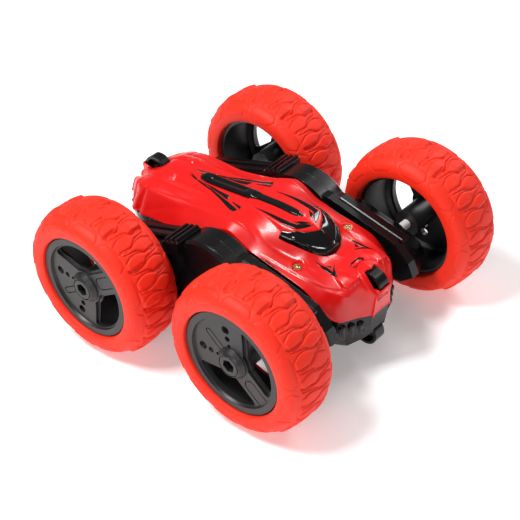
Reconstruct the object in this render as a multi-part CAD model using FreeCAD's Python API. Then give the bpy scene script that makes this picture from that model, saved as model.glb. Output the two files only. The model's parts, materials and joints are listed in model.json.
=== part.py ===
"""Double-sided stunt car: a nose-down body pivoted between two geared side arms, on four big wheels.

Units are millimetres.  +X is the nose, +Y the car's left, +Z up.  The origin lies on the ground,
midway between the four wheels.  Body pieces are drawn level about the pivot line between the arms
and then pitched.  Arm and wheel pieces are drawn for the left side, with y measured from the car's
middle plane and z from the axles, and mirrored for the right side.
"""
import FreeCAD, Part
import math
import os

Vec = FreeCAD.Vector

# ---- overall layout -------------------------------------------------------------------------
WHEELBASE = 90.0
TRACK = 120.0
TYRE_RADIUS = 38.0
TYRE_WIDTH = 29.0
TYRE_CLEARANCE = 1.9
BODY_PITCH = 7.0
AXLE_HEIGHT = TYRE_RADIUS
AXLE_X = WHEELBASE / 2
WHEEL_Y = TRACK / 2

# ---- fits -----------------------------------------------------------------------------------
RUNNING_FIT = 0.05
SEAT_FIT = 0.05
SIDE_PLAY = 0.35
PANEL_GAP = 0.2

# ---- wheels ---------------------------------------------------------------------------------
TYRE_BORE = 26.0
TYRE_SHOULDER_SHARE = 0.948
TYRE_EDGE_SHARE = 0.82
TYRE_SHOULDER_INSET = 3.2
RIM_FRONT = 12.6
RIM_BACK = -10.8
RIM_WALL = 1.7
RIM_RING_INNER = 21.8
RIM_CHAMFER = 0.6
FACE_FRONT = 11.4
FACE_THICKNESS = 2.6
HUB_RADIUS = 6.4
HUB_FRONT = 14.2
HUB_BACK = -9.0
HUB_GROOVE_RADIUS = 5.1
GROOVE_WIDTH = 0.5
GROOVE_DEPTH = 0.6
WINDOW_OUTER = 21.4
WINDOW_INNER = 9.6
WINDOW_START = 68.0
WINDOW_HUB_ANGLE = 102.0
WINDOW_CORNER = 1.5
WINDOW_STEP = 1.2
WINDOW_STEP_DEPTH = 1.3
SPOKE_HALF = 6.4
ROW_ANGLE = 38.5
ROW_HOLES = ((8.4, 0.9), (12.2, 1.35), (16.8, 2.0))
TONGUE_START = 7.6
TONGUE_END = 16.6
TONGUE_HALF = 1.5
SPOKE_TONGUE_START = 12.6
SPOKE_TONGUE_HALF = 2.9
RIM_TURNS = {"front_left": 299.0, "rear_left": 35.0, "front_right": 136.0, "rear_right": 210.0}
SOCKET_FLATS = 5.6
SOCKET_DEPTH = 5.0

# ---- output shafts and wheel screws ---------------------------------------------------------
SHAFT_RADIUS = 2.2
SHAFT_HEX_FLATS = 3.4
SHAFT_HEX_START = -8.4
SHAFT_HEX_END = 6.0
WHEEL_SCREW_RADIUS = 1.0
WHEEL_SCREW_LENGTH = 8.0
WHEEL_SCREW_HEAD = 1.9
WHEEL_SCREW_HEAD_HEIGHT = 1.4

# ---- gear train, all teeth counted on the gears of one arm -----------------------------------
CENTRE_TEETH = 30
IDLER_TEETH = 23
OUTPUT_TEETH = 14
MODULE = WHEELBASE / (CENTRE_TEETH + 2 * IDLER_TEETH + OUTPUT_TEETH)
FINE_MODULE = 0.5
CENTRE_FINE_TEETH = 34
CLUSTER_SMALL_TEETH = 12
CLUSTER_LARGE_TEETH = 36
PINION_TEETH = 10
GEAR_Y = 28.9
GEAR_WIDTH = 2.4
FINE_GEAR_Y = 31.9
FINE_GEAR_WIDTH = 2.2
PINION_Y = 35.0
PINION_WIDTH = 2.0
IDLER_PIN_RADIUS = 1.5
CLUSTER_PIN_RADIUS = 1.0

# ---- side arms ------------------------------------------------------------------------------
ARM_INNER_Y = 27.0
ARM_JOINT_Y = 31.6
ARM_OUTER_Y = WHEEL_Y - TYRE_WIDTH / 2 - TYRE_CLEARANCE
ARM_WALL = 1.4
ARM_TIP_X = AXLE_X + 21.0
ARM_SHOULDER_X = AXLE_X + 11.0
ARM_ROOT_X = 18.0
ARM_ROOT_HEIGHT = 18.0
ARM_SHOULDER_HEIGHT = 7.4
ARM_BEVEL = 5.4
ARM_FACE_START_X = 24.5
DRUM_RADIUS = 23.0
DRUM_WALL = 1.3
DRUM_INNER_Y = 25.6
DRUM_CAP_Y = 37.7
DRUM_CAP_THICKNESS = 1.6
DRUM_CHAMFER = 1.2
NECK_RADIUS = 10.0
NECK_BORE = 8.6
NECK_END_Y = 16.0
SNOUT_RADIUS = 3.5
SNOUT_END_Y = 34.3
PIVOT_RING_RADIUS = 12.0
PIVOT_RING_WIDTH = 1.5
ARM_SCREW_RADIUS = 1.1
ARM_SCREW_HEAD = 2.1
ARM_SCREW_HEAD_HEIGHT = 1.2
ARM_SCREW_X = AXLE_X + 13.0
ARM_SCREW_Z = -5.0
ARM_SCREW_FACE_Y = 36.6
CAP_SCREW_X = 9.0
CAP_SCREW_Z = -17.2
CAP_LUG_LENGTH = 4.0
BOSS_WALL = 1.6

# ---- motors ---------------------------------------------------------------------------------
MOTOR_RADIUS = 8.0
MOTOR_FLATS = 6.2
MOTOR_LENGTH = 16.0
MOTOR_SHAFT_RADIUS = 0.9
MOTOR_SHAFT_SEAT = 2.0

# ---- body shell -----------------------------------------------------------------------------
SHELL_WALL = 1.8
SEAM_LINE = ((-90, 3), (-60, 3), (-40, 6), (-21, 11.3), (-13, 17), (13, 18.5), (20, 18),
             (41, 15.5), (51, 10.5), (57, 5), (61, 1.5), (90, 1.5))
# One row per cross-section: station along the body, then half the outline as (half-width, height)
# from the top middle round to the bottom middle.
SHELL_SECTIONS = (
    (-71.0, (0, 9.5), (4, 9.5), (11, 8), (13, 2), (12, -4), (6, -8), (0, -8)),
    (-65.0, (0, 13.5), (8, 13.5), (17, 11), (20.5, 3), (19, -6), (11, -11), (0, -11)),
    (-58.0, (0, 18), (8, 17.5), (19, 14), (24.8, 3), (22, -9), (14, -17), (0, -17)),
    (-53.5, (0, 18.6), (8.5, 18), (19, 15), (25, 4), (22.6, -10), (15, -21), (0, -21)),
    (-38.5, (0, 20.3), (9, 19.8), (18.6, 17), (25, 6.8), (23, -12), (16, -21), (0, -21)),
    (-30.0, (0, 21.2), (9, 21), (18, 18), (24.8, 9), (23, -13), (17, -25), (0, -25)),
    (-12.0, (0, 24.3), (10, 24.2), (19, 23), (24.6, 17.2), (24, -14), (17, -25), (0, -25)),
    (0.0, (0, 26.3), (10, 26.5), (20, 25.4), (24.4, 23.5), (24, -14), (17, -25), (0, -25)),
    (13.0, (0, 28), (9.5, 27.6), (19, 22.5), (24.2, 18.8), (24, -14), (17, -25), (0, -25)),
    (25.0, (0, 28.4), (9.5, 27.8), (16.5, 19.8), (24.2, 17.6), (24, -13), (17, -25), (0, -25)),
    (33.6, (0, 26.1), (9.5, 23.6), (16.5, 19.2), (24.4, 16.8), (24, -12), (17, -24), (0, -24)),
    (43.0, (0, 17.6), (10, 19.2), (18, 18), (24.6, 15.6), (24, -11), (17, -22), (0, -22)),
    (52.0, (0, 19.6), (11, 19.2), (19, 16), (24, 10.5), (22, -9), (15, -20), (0, -20)),
    (60.5, (0, 21), (10, 19), (16.5, 15), (19.5, 2), (18, -6), (12, -18), (0, -18)),
    (65.0, (0, 17), (7, 15), (10.5, 9), (11.5, 2), (11, -5), (8, -14), (0, -14)),
    (68.3, (0, 12.7), (4.8, 11.5), (5.5, 8), (6, 1.5), (5.6, -5), (4.4, -10), (0, -10)),
)
PIVOT_SLEEVE_WALL = 2.4
PIVOT_SLEEVE_END = 17.85
PIVOT_SLEEVE_FLANK = 24.0

CANOPY_REAR_X = -38.0
CANOPY_STEP_X = -4.0
CANOPY_FRONT_X = 22.6
CANOPY_REAR_HALF = 3.3
CANOPY_FRONT_HALF = 2.5
CANOPY_RISE = 1.2
TRIM_SINK = 0.7
VISOR_RISE = 0.5
VISOR_OUTLINE = ((20.5, 8.2), (20.5, 11.6), (30, 11.2), (38, 9.0), (42.6, 4.4), (43.4, 0))
VISOR_INNER = ((33.6, 0), (29.0, 6.2), (27, 8.2))

SCREW_X = 35.0
SCREW_Y = 17.9
SCREW_SEAT_Z = 17.3
TAIL_SCREW_X = -57.0
TAIL_SCREW_Y = 11.0
TAIL_SCREW_SEAT_Z = -3.0
TAIL_POST_RADIUS = 3.4
TAIL_POST_TOP_Z = 3.0
SHELL_SCREW_RADIUS = 1.1
SHELL_SCREW_HEAD = 2.0
SHELL_SCREW_HEAD_HEIGHT = 1.0
SHELL_SCREW_LENGTH = 9.0
PILOT_SPARE = 1.0
TOOL_REACH = 60.0
SCREW_POST_RADIUS = 2.7
SCREW_POST_TOP_Z = 12.2

# ---- guide rollers at both ends ---------------------------------------------------------------
NOSE_ROLLER = {"x": 63.0, "z": 14.0, "radius": 6.6, "width": 6.0}
TAIL_ROLLER = {"x": -66.5, "z": 11.0, "radius": 7.0, "width": 5.0}
ROLLER_CLEARANCE = 0.9
ROLLER_RIM = 1.3
ROLLER_WEB = 1.4
ROLLER_HUB = 2.4
ROLLER_PIN_RADIUS = 1.0
CHEEK_THICKNESS = 1.6
CHEEK_MARGIN = 3.0

# ---- electrics --------------------------------------------------------------------------------
CELL_RADIUS = 7.0
CELL_LENGTH = 49.0
BATTERY_Z = -15.9
BELLY_Z = -25.0
HATCH_REAR = -27.0
HATCH_FRONT = 33.0
HATCH_WIDTH = 31.0
HATCH_TONGUE = 2.4
HATCH_SCREW_X = 29.6
BAY_WALL = 2.0
BAY_HALF_WIDTH = 17.0
BAY_TOP_Z = -9.5
HATCH_POST_TOP_Z = -12.0
BOARD_LENGTH = 78.0
BOARD_WIDTH = 26.0
BOARD_THICKNESS = 1.2
BOARD_Z = 13.0
POST_X = 36.4
POST_Y = 9.0
POST_RADIUS = 2.2
JACK_X = -46.0
JACK_Y = 8.0
JACK_RADIUS = 3.6
JACK_BORE = 1.8
JACK_DEPTH = 8.0
JACK_FLOOR = 1.4
JACK_FLANGE = 4.8
JACK_SEAT_Z = -15.0
SWITCH_X = -46.0
SWITCH_Y = -8.0
SWITCH_TRAVEL = 3.0
KNOB_LENGTH = 5.0
KNOB_WIDTH = 3.6
KNOB_HEIGHT = 3.2
SWITCH_BODY = (13.0, 6.4, 5.0)
SWITCH_WALL = 1.0
BELLY_TAIL_Z = -21.0
SWITCH_FLOOR_Z = BELLY_TAIL_Z + SHELL_WALL + 0.3


# ---- small shape helpers ----------------------------------------------------------------------
def block(x0, x1, y0, y1, z0, z1):
    """Box between two corners."""
    return Part.makeBox(x1 - x0, y1 - y0, z1 - z0, Vec(x0, y0, z0))


def rod_y(radius, y0, y1, x=0.0, z=0.0):
    """Cylinder along Y."""
    return Part.makeCylinder(radius, y1 - y0, Vec(x, y0, z), Vec(0, 1, 0))


def rod_z(radius, z0, z1, x=0.0, y=0.0):
    """Cylinder along Z."""
    return Part.makeCylinder(radius, z1 - z0, Vec(x, y, z0), Vec(0, 0, 1))


def tube_y(outer, inner, y0, y1, x=0.0, z=0.0):
    """Tube along Y."""
    return rod_y(outer, y0, y1, x, z).cut(rod_y(inner, y0 - 1, y1 + 1, x, z))


def face_of(points):
    """Flat face inside a closed polygon of vectors."""
    return Part.Face(Part.makePolygon(points + [points[0]]))


def plate_xz(outline, y0, y1):
    """Prism with an (x, z) outline, extruded from y0 to y1."""
    return face_of([Vec(x, y0, z) for x, z in outline]).extrude(Vec(0, y1 - y0, 0))


def plate_xy(outline, z0, z1):
    """Prism with an (x, y) outline, extruded from z0 to z1."""
    return face_of([Vec(x, y, z0) for x, y in outline]).extrude(Vec(0, 0, z1 - z0))


def turned_y(profile):
    """Solid of revolution about Y from (radius, y) points."""
    return face_of([Vec(radius, y, 0) for radius, y in profile]).revolve(Vec(0, 0, 0), Vec(0, 1, 0), 360)


def hexagon(flats, y0, y1, turn=0.0):
    """Hexagonal prism along Y, given across flats and turned about Y."""
    corner = flats / 2 / math.cos(math.pi / 6)
    outline = []
    for step in range(6):
        angle = math.radians(turn + 60 * step)
        outline.append((corner * math.cos(angle), corner * math.sin(angle)))
    return plate_xz(outline, y0, y1)


def joined(shapes):
    """One solid from overlapping shapes."""
    return shapes[0].fuse(shapes[1:]).removeSplitter()


def group(shapes):
    """Separate solids kept together in one node."""
    return Part.makeCompound(shapes)


def moved(shape, x=0.0, y=0.0, z=0.0):
    """Copy of a shape, shifted."""
    copy = shape.copy()
    copy.translate(Vec(x, y, z))
    return copy


def mirrored(shape):
    """Copy of a shape on the car's other side."""
    return shape.mirror(Vec(0, 0, 0), Vec(0, 1, 0))


# ---- gears --------------------------------------------------------------------------------------
def gear_blank(module, teeth, phase, y0, width):
    """Spur gear along Y: straight-flanked teeth, one of them centred on the phase angle."""
    pitch_radius = module * teeth / 2
    tip_radius = pitch_radius + 0.8 * module
    root_radius = pitch_radius - 1.15 * module
    half_pitch = 0.40 * math.pi / teeth
    half_tip = half_pitch * 0.45
    half_root = half_pitch * 1.45
    outline = []
    for tooth in range(teeth):
        middle = math.radians(phase) + 2 * math.pi * tooth / teeth
        for radius, offset in ((root_radius, -half_root), (pitch_radius, -half_pitch),
                               (tip_radius, -half_tip), (tip_radius, half_tip),
                               (pitch_radius, half_pitch), (root_radius, half_root)):
            angle = middle + offset
            outline.append((radius * math.cos(angle), radius * math.sin(angle)))
    return plate_xz(outline, y0, y0 + width)


def meshing_phase(teeth_a, phase_a, teeth_b, direction):
    """Phase of gear b that meshes with gear a, where b lies at a direction (degrees) from a."""
    share_a = (direction - phase_a) * teeth_a / 360
    return direction + 180 - (0.5 - share_a) * 360 / teeth_b


CENTRE_RADIUS = MODULE * CENTRE_TEETH / 2
IDLER_X = MODULE * (CENTRE_TEETH + IDLER_TEETH) / 2
CLUSTER_Z = FINE_MODULE * (CENTRE_FINE_TEETH + CLUSTER_SMALL_TEETH) / 2
CENTRE_PHASE = 0.0
FRONT_IDLER_PHASE = meshing_phase(CENTRE_TEETH, CENTRE_PHASE, IDLER_TEETH, 0.0)
REAR_IDLER_PHASE = meshing_phase(CENTRE_TEETH, CENTRE_PHASE, IDLER_TEETH, 180.0)
FRONT_OUTPUT_PHASE = meshing_phase(IDLER_TEETH, FRONT_IDLER_PHASE, OUTPUT_TEETH, 0.0)
REAR_OUTPUT_PHASE = meshing_phase(IDLER_TEETH, REAR_IDLER_PHASE, OUTPUT_TEETH, 180.0)
CLUSTER_SMALL_PHASE = meshing_phase(CENTRE_FINE_TEETH, CENTRE_PHASE, CLUSTER_SMALL_TEETH, 90.0)
CLUSTER_LARGE_PHASE = 0.0
PINION_PHASE = meshing_phase(CLUSTER_LARGE_TEETH, CLUSTER_LARGE_PHASE, PINION_TEETH, 270.0)


def centre_gear():
    """Compound gear on the arm's snout: coarse teeth for the idlers, fine teeth for the cluster."""
    coarse = gear_blank(MODULE, CENTRE_TEETH, CENTRE_PHASE, GEAR_Y, GEAR_WIDTH)
    web = rod_y(CENTRE_RADIUS / 2, GEAR_Y + GEAR_WIDTH - 0.1, FINE_GEAR_Y + 0.1)
    fine = gear_blank(FINE_MODULE, CENTRE_FINE_TEETH, CENTRE_PHASE, FINE_GEAR_Y, FINE_GEAR_WIDTH)
    bore = rod_y(SNOUT_RADIUS + RUNNING_FIT, GEAR_Y - 1, FINE_GEAR_Y + FINE_GEAR_WIDTH + 1)
    return joined([coarse, web, fine]).cut(bore)


def idler_gear(x, phase):
    """Plain idler with a longer hub, on its own pin."""
    gear = gear_blank(MODULE, IDLER_TEETH, phase, GEAR_Y, GEAR_WIDTH)
    hub = rod_y(IDLER_PIN_RADIUS + BOSS_WALL, GEAR_Y, ARM_JOINT_Y + 2.0)
    bore = rod_y(IDLER_PIN_RADIUS + RUNNING_FIT, GEAR_Y - 1, ARM_JOINT_Y + 3)
    return moved(joined([gear, hub]).cut(bore), x=x)


def reduction_gear():
    """Two-step cluster gear between the motor pinion and the centre gear."""
    small = gear_blank(FINE_MODULE, CLUSTER_SMALL_TEETH, CLUSTER_SMALL_PHASE, FINE_GEAR_Y, FINE_GEAR_WIDTH)
    neck = rod_y(CLUSTER_PIN_RADIUS + 1.2, FINE_GEAR_Y + 0.1, PINION_Y + 0.1)
    large = gear_blank(FINE_MODULE, CLUSTER_LARGE_TEETH, CLUSTER_LARGE_PHASE, PINION_Y, PINION_WIDTH)
    bore = rod_y(CLUSTER_PIN_RADIUS + RUNNING_FIT, FINE_GEAR_Y - 1, PINION_Y + PINION_WIDTH + 1)
    return moved(joined([small, neck, large]).cut(bore), z=CLUSTER_Z)


def motor_pinion():
    """Pinion pressed on the motor's shaft, which runs out through the arm's snout."""
    teeth = gear_blank(FINE_MODULE, PINION_TEETH, PINION_PHASE, PINION_Y, PINION_WIDTH)
    shaft = rod_y(MOTOR_SHAFT_RADIUS, MOTOR_FRONT_Y - MOTOR_SHAFT_SEAT, PINION_Y + PINION_WIDTH)
    return joined([teeth, shaft])


# ---- side arm -------------------------------------------------------------------------------------
MOTOR_FRONT_Y = DRUM_INNER_Y
MOTOR_BACK_Y = MOTOR_FRONT_Y - MOTOR_LENGTH
SNOUT_FLANGE_END = DRUM_INNER_Y + DRUM_WALL
PIN_SEAT_Y = ARM_INNER_Y + 0.5


def arm_outline(inset):
    """Side outline of the arm as (x, z) points, drawn in by an inset on every side."""
    tip = ARM_TIP_X - inset
    shoulder = ARM_SHOULDER_X - inset * 0.6
    root_top = ARM_ROOT_HEIGHT - inset
    shoulder_top = ARM_SHOULDER_HEIGHT - inset
    front = [(ARM_ROOT_X, root_top), (shoulder, shoulder_top), (tip - 2.5, -1.0),
             (tip, -8.0 + inset * 0.5), (shoulder + 3.0, -13.0 + inset), (ARM_ROOT_X, -root_top)]
    rear = [(-x, z) for x, z in reversed(front)]
    return front + rear


def arm_loft(y0, inset0, y1, inset1):
    """Solid between two arm outlines at y0 and y1."""
    wires = []
    for y, inset in ((y0, inset0), (y1, inset1)):
        points = [Vec(x, y, z) for x, z in arm_outline(inset)]
        wires.append(Part.makePolygon(points + [points[0]]))
    return Part.makeLoft(wires, True, True)


def arm_inner():
    """Inner half of the gear case, with the drum, the hollow pivot neck and the gear snout."""
    outside = plate_xz(arm_outline(0.0), ARM_INNER_Y, ARM_JOINT_Y)
    hollow = plate_xz(arm_outline(ARM_WALL), ARM_INNER_Y + ARM_WALL, ARM_JOINT_Y + 1)
    drum = rod_y(DRUM_RADIUS, DRUM_INNER_Y, ARM_JOINT_Y)
    drum_hollow = rod_y(DRUM_RADIUS - DRUM_WALL, DRUM_INNER_Y + DRUM_WALL, ARM_JOINT_Y + 1)
    case = joined([outside, drum]).cut(hollow).cut(drum_hollow)
    neck = rod_y(NECK_RADIUS, NECK_END_Y, DRUM_INNER_Y + 0.2)
    snout = rod_y(SNOUT_RADIUS, DRUM_INNER_Y + 0.2, SNOUT_END_Y)
    solids = [case, neck, snout]
    for x in (-AXLE_X, AXLE_X):
        solids.append(rod_y(SHAFT_RADIUS + BOSS_WALL, ARM_INNER_Y + 0.2, GEAR_Y - SIDE_PLAY / 2, x))
    for x in (-IDLER_X, IDLER_X):
        solids.append(rod_y(IDLER_PIN_RADIUS + BOSS_WALL, ARM_INNER_Y + 0.2, GEAR_Y - SIDE_PLAY / 2, x))
    for x in (-ARM_SCREW_X, ARM_SCREW_X):
        solids.append(rod_y(ARM_SCREW_RADIUS + BOSS_WALL, ARM_INNER_Y + 0.2, ARM_JOINT_Y, x, ARM_SCREW_Z))
    arm = joined(solids)
    arm = arm.cut(rod_y(NECK_BORE, NECK_END_Y - 1, DRUM_INNER_Y))
    arm = arm.cut(rod_y(MOTOR_SHAFT_RADIUS + 3 * RUNNING_FIT, DRUM_INNER_Y - 1, SNOUT_END_Y + 1))
    for x in (-AXLE_X, AXLE_X):
        arm = arm.cut(rod_y(SHAFT_RADIUS + RUNNING_FIT, PIN_SEAT_Y, GEAR_Y, x))
    for x in (-IDLER_X, IDLER_X):
        arm = arm.cut(rod_y(IDLER_PIN_RADIUS, PIN_SEAT_Y, GEAR_Y, x))
    for x in (-ARM_SCREW_X, ARM_SCREW_X):
        arm = arm.cut(rod_y(ARM_SCREW_RADIUS, PIN_SEAT_Y, ARM_JOINT_Y + 1, x, ARM_SCREW_Z))
    return arm


def arm_outer():
    """Outer half of the gear case: bevelled lobes to both axles and the drum's outer ring."""
    outside = arm_loft(ARM_JOINT_Y, 0.0, ARM_OUTER_Y, ARM_BEVEL)
    hollow = arm_loft(ARM_JOINT_Y - 0.01, ARM_WALL, ARM_OUTER_Y - ARM_WALL, ARM_BEVEL + ARM_WALL)
    middle = block(-ARM_FACE_START_X, ARM_FACE_START_X, DRUM_CAP_Y, ARM_OUTER_Y + 1, -40, 40)
    lobes = outside.cut(hollow).cut(middle)
    bulkheads = []
    for side in (-1, 1):
        x_mid = side * (ARM_FACE_START_X + ARM_WALL / 2)
        slab = block(x_mid - ARM_WALL / 2, x_mid + ARM_WALL / 2, DRUM_CAP_Y - 0.6, ARM_OUTER_Y, -40, 40)
        bulkheads.append(slab.common(outside))
    ring = rod_y(DRUM_RADIUS, ARM_JOINT_Y, DRUM_CAP_Y)
    solids = [lobes.fuse(ring).cut(rod_y(DRUM_RADIUS - DRUM_WALL, ARM_JOINT_Y - 1, DRUM_CAP_Y + 1))]
    solids.extend(bulkheads)
    pin_end = ARM_OUTER_Y - ARM_WALL
    for x in (-AXLE_X, AXLE_X):
        solids.append(rod_y(SHAFT_RADIUS + BOSS_WALL, ARM_JOINT_Y + 2.5, ARM_OUTER_Y + 1.0, x))
    for x in (-IDLER_X, IDLER_X):
        solids.append(rod_y(IDLER_PIN_RADIUS + BOSS_WALL, ARM_JOINT_Y + 2.5, pin_end, x))
    for x in (-ARM_SCREW_X, ARM_SCREW_X):
        post = rod_y(ARM_SCREW_RADIUS + BOSS_WALL, ARM_JOINT_Y, ARM_OUTER_Y, x, ARM_SCREW_Z)
        solids.append(post.common(outside))
    for x in (-CAP_SCREW_X, CAP_SCREW_X):
        solids.append(rod_y(ARM_SCREW_RADIUS + BOSS_WALL, DRUM_CAP_Y - CAP_LUG_LENGTH, DRUM_CAP_Y,
                            x, CAP_SCREW_Z))
    arm = joined(solids)
    for x in (-AXLE_X, AXLE_X):
        arm = arm.cut(rod_y(SHAFT_RADIUS + RUNNING_FIT, ARM_JOINT_Y, ARM_OUTER_Y + 2, x))
    for x in (-IDLER_X, IDLER_X):
        arm = arm.cut(rod_y(IDLER_PIN_RADIUS, ARM_JOINT_Y, pin_end - 0.6, x))
    for x in (-ARM_SCREW_X, ARM_SCREW_X):
        arm = arm.cut(rod_y(ARM_SCREW_RADIUS, ARM_JOINT_Y - 1, ARM_OUTER_Y + 1, x, ARM_SCREW_Z))
        arm = arm.cut(rod_y(ARM_SCREW_HEAD + SEAT_FIT, ARM_SCREW_FACE_Y, ARM_OUTER_Y + 1, x, ARM_SCREW_Z))
    for x in (-CAP_SCREW_X, CAP_SCREW_X):
        arm = arm.cut(rod_y(ARM_SCREW_RADIUS, DRUM_CAP_Y - CAP_LUG_LENGTH - 1, DRUM_CAP_Y + 1,
                            x, CAP_SCREW_Z))
    return arm


CAP_OUTER_Y = DRUM_CAP_Y + DRUM_CAP_THICKNESS


def drum_cap():
    """Round cover of the drum, with a chamfered edge and the cluster pin's boss."""
    profile = [(0, DRUM_CAP_Y), (DRUM_RADIUS, DRUM_CAP_Y), (DRUM_RADIUS, CAP_OUTER_Y - DRUM_CHAMFER),
               (DRUM_RADIUS - DRUM_CHAMFER, CAP_OUTER_Y), (0, CAP_OUTER_Y)]
    cap = turned_y(profile)
    boss_y = PINION_Y + PINION_WIDTH + SIDE_PLAY / 2
    cap = cap.fuse(rod_y(CLUSTER_PIN_RADIUS + 1.2, boss_y, DRUM_CAP_Y + 0.2, 0, CLUSTER_Z))
    cap = cap.cut(rod_y(CLUSTER_PIN_RADIUS, boss_y - 1, CAP_OUTER_Y - 0.5, 0, CLUSTER_Z))
    for x in (-CAP_SCREW_X, CAP_SCREW_X):
        cap = cap.cut(rod_y(ARM_SCREW_RADIUS, DRUM_CAP_Y - 1, CAP_OUTER_Y + 1, x, CAP_SCREW_Z))
    return cap.removeSplitter()


def gear_pins():
    """Two idler pins and the cluster pin, all still in the arm."""
    pin_end = ARM_OUTER_Y - ARM_WALL - 0.6
    pins = [rod_y(IDLER_PIN_RADIUS, PIN_SEAT_Y, pin_end, x) for x in (-IDLER_X, IDLER_X)]
    pins.append(rod_y(CLUSTER_PIN_RADIUS, FINE_GEAR_Y - 0.2, CAP_OUTER_Y - 0.5, 0, CLUSTER_Z))
    return group(pins)


def screw_y(radius, head_radius, head_height, y_face, length, x, z):
    """Pan-head screw along Y, its head standing out of the face at y_face."""
    shank = rod_y(radius, y_face - length, y_face, x, z)
    head = rod_y(head_radius, y_face, y_face + head_height, x, z)
    slot_half = 0.3
    slot = block(x - head_radius, x + head_radius, y_face + head_height * 0.5,
                 y_face + head_height + 1, z - slot_half, z + slot_half)
    cross = block(x - slot_half, x + slot_half, y_face + head_height * 0.5,
                  y_face + head_height + 1, z - head_radius, z + head_radius)
    return joined([shank, head]).cut(slot).cut(cross)


def arm_screws():
    """Two long screws that close the gear case and two short ones in the drum cap."""
    screws = []
    for x in (-ARM_SCREW_X, ARM_SCREW_X):
        screws.append(screw_y(ARM_SCREW_RADIUS, ARM_SCREW_HEAD, ARM_SCREW_HEAD_HEIGHT, ARM_SCREW_FACE_Y,
                              ARM_SCREW_FACE_Y - PIN_SEAT_Y - 0.4, x, ARM_SCREW_Z))
    for x in (-CAP_SCREW_X, CAP_SCREW_X):
        screws.append(screw_y(ARM_SCREW_RADIUS, ARM_SCREW_HEAD, ARM_SCREW_HEAD_HEIGHT, CAP_OUTER_Y,
                              DRUM_CAP_THICKNESS + CAP_LUG_LENGTH - 0.5, x, CAP_SCREW_Z))
    return group(screws)


def pivot_ring():
    """Snap ring on the neck's inner end, which keeps the arm in the body's sleeve."""
    return tube_y(PIVOT_RING_RADIUS, NECK_RADIUS, NECK_END_Y, NECK_END_Y + PIVOT_RING_WIDTH)


def motor():
    """Flat-sided motor can, seated in the neck against the drum's wall."""
    can = rod_y(MOTOR_RADIUS, MOTOR_BACK_Y, MOTOR_FRONT_Y)
    can = can.common(block(-20, 20, MOTOR_BACK_Y, MOTOR_FRONT_Y, -MOTOR_FLATS, MOTOR_FLATS))
    boss = rod_y(2.6, MOTOR_BACK_Y - 1.2, MOTOR_BACK_Y + 0.1)
    can = joined([can, boss])
    seat = rod_y(MOTOR_SHAFT_RADIUS + RUNNING_FIT, MOTOR_FRONT_Y - MOTOR_SHAFT_SEAT - 0.3, MOTOR_FRONT_Y + 1)
    return can.cut(seat)


# ---- wheels -----------------------------------------------------------------------------------------
def polar(radius, angle):
    """Point in the XZ plane at a radius and an angle in degrees."""
    return Vec(radius * math.cos(math.radians(angle)), 0, radius * math.sin(math.radians(angle)))


def window(grow, y0, y1):
    """Prism of one rim window: two round arcs, a straight spoke edge and a hollow sector edge."""
    outer = WINDOW_OUTER
    inner = WINDOW_INNER - grow
    edge = SPOKE_HALF - grow
    start = WINDOW_START - math.degrees(grow / outer)
    hub_angle = WINDOW_HUB_ANGLE - math.degrees(grow / inner)
    outer_end = 180 - math.degrees(math.asin(edge / outer))
    inner_end = 180 - math.degrees(math.asin(edge / inner))
    bow = (outer + inner) / 2 - 1.0
    corners = [polar(outer, start), polar(outer, outer_end), polar(inner, inner_end), polar(inner, hub_angle)]
    edges = [Part.Arc(corners[0], polar(outer, (start + outer_end) / 2), corners[1]).toShape(),
             Part.makeLine(corners[1], corners[2]),
             Part.Arc(corners[2], polar(inner, (inner_end + hub_angle) / 2), corners[3]).toShape(),
             Part.Arc(corners[3], polar(bow, (start + hub_angle) / 2 - 4), corners[0]).toShape()]
    prism = Part.Face(Part.Wire(edges)).extrude(Vec(0, y1 - y0, 0))
    prism.translate(Vec(0, y0, 0))
    upright = [edge for edge in prism.Edges if abs(edge.BoundBox.YLength - (y1 - y0)) < 0.01
               and edge.BoundBox.XLength < 0.01]
    return prism.makeFillet(WINDOW_CORNER, upright)


def stadium_groove(x0, x1, half):
    """Narrow groove along the outline of a round-ended tongue on the rim's face."""
    pieces = []
    for reach in (half + GROOVE_WIDTH / 2, half - GROOVE_WIDTH / 2):
        y0 = FACE_FRONT - GROOVE_DEPTH
        bar = block(x0, x1, y0, FACE_FRONT + 1, -reach, reach)
        bar = bar.fuse([rod_y(reach, y0, FACE_FRONT + 1, x0), rod_y(reach, y0, FACE_FRONT + 1, x1)])
        pieces.append(bar)
    return pieces[0].cut(pieces[1])


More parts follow.
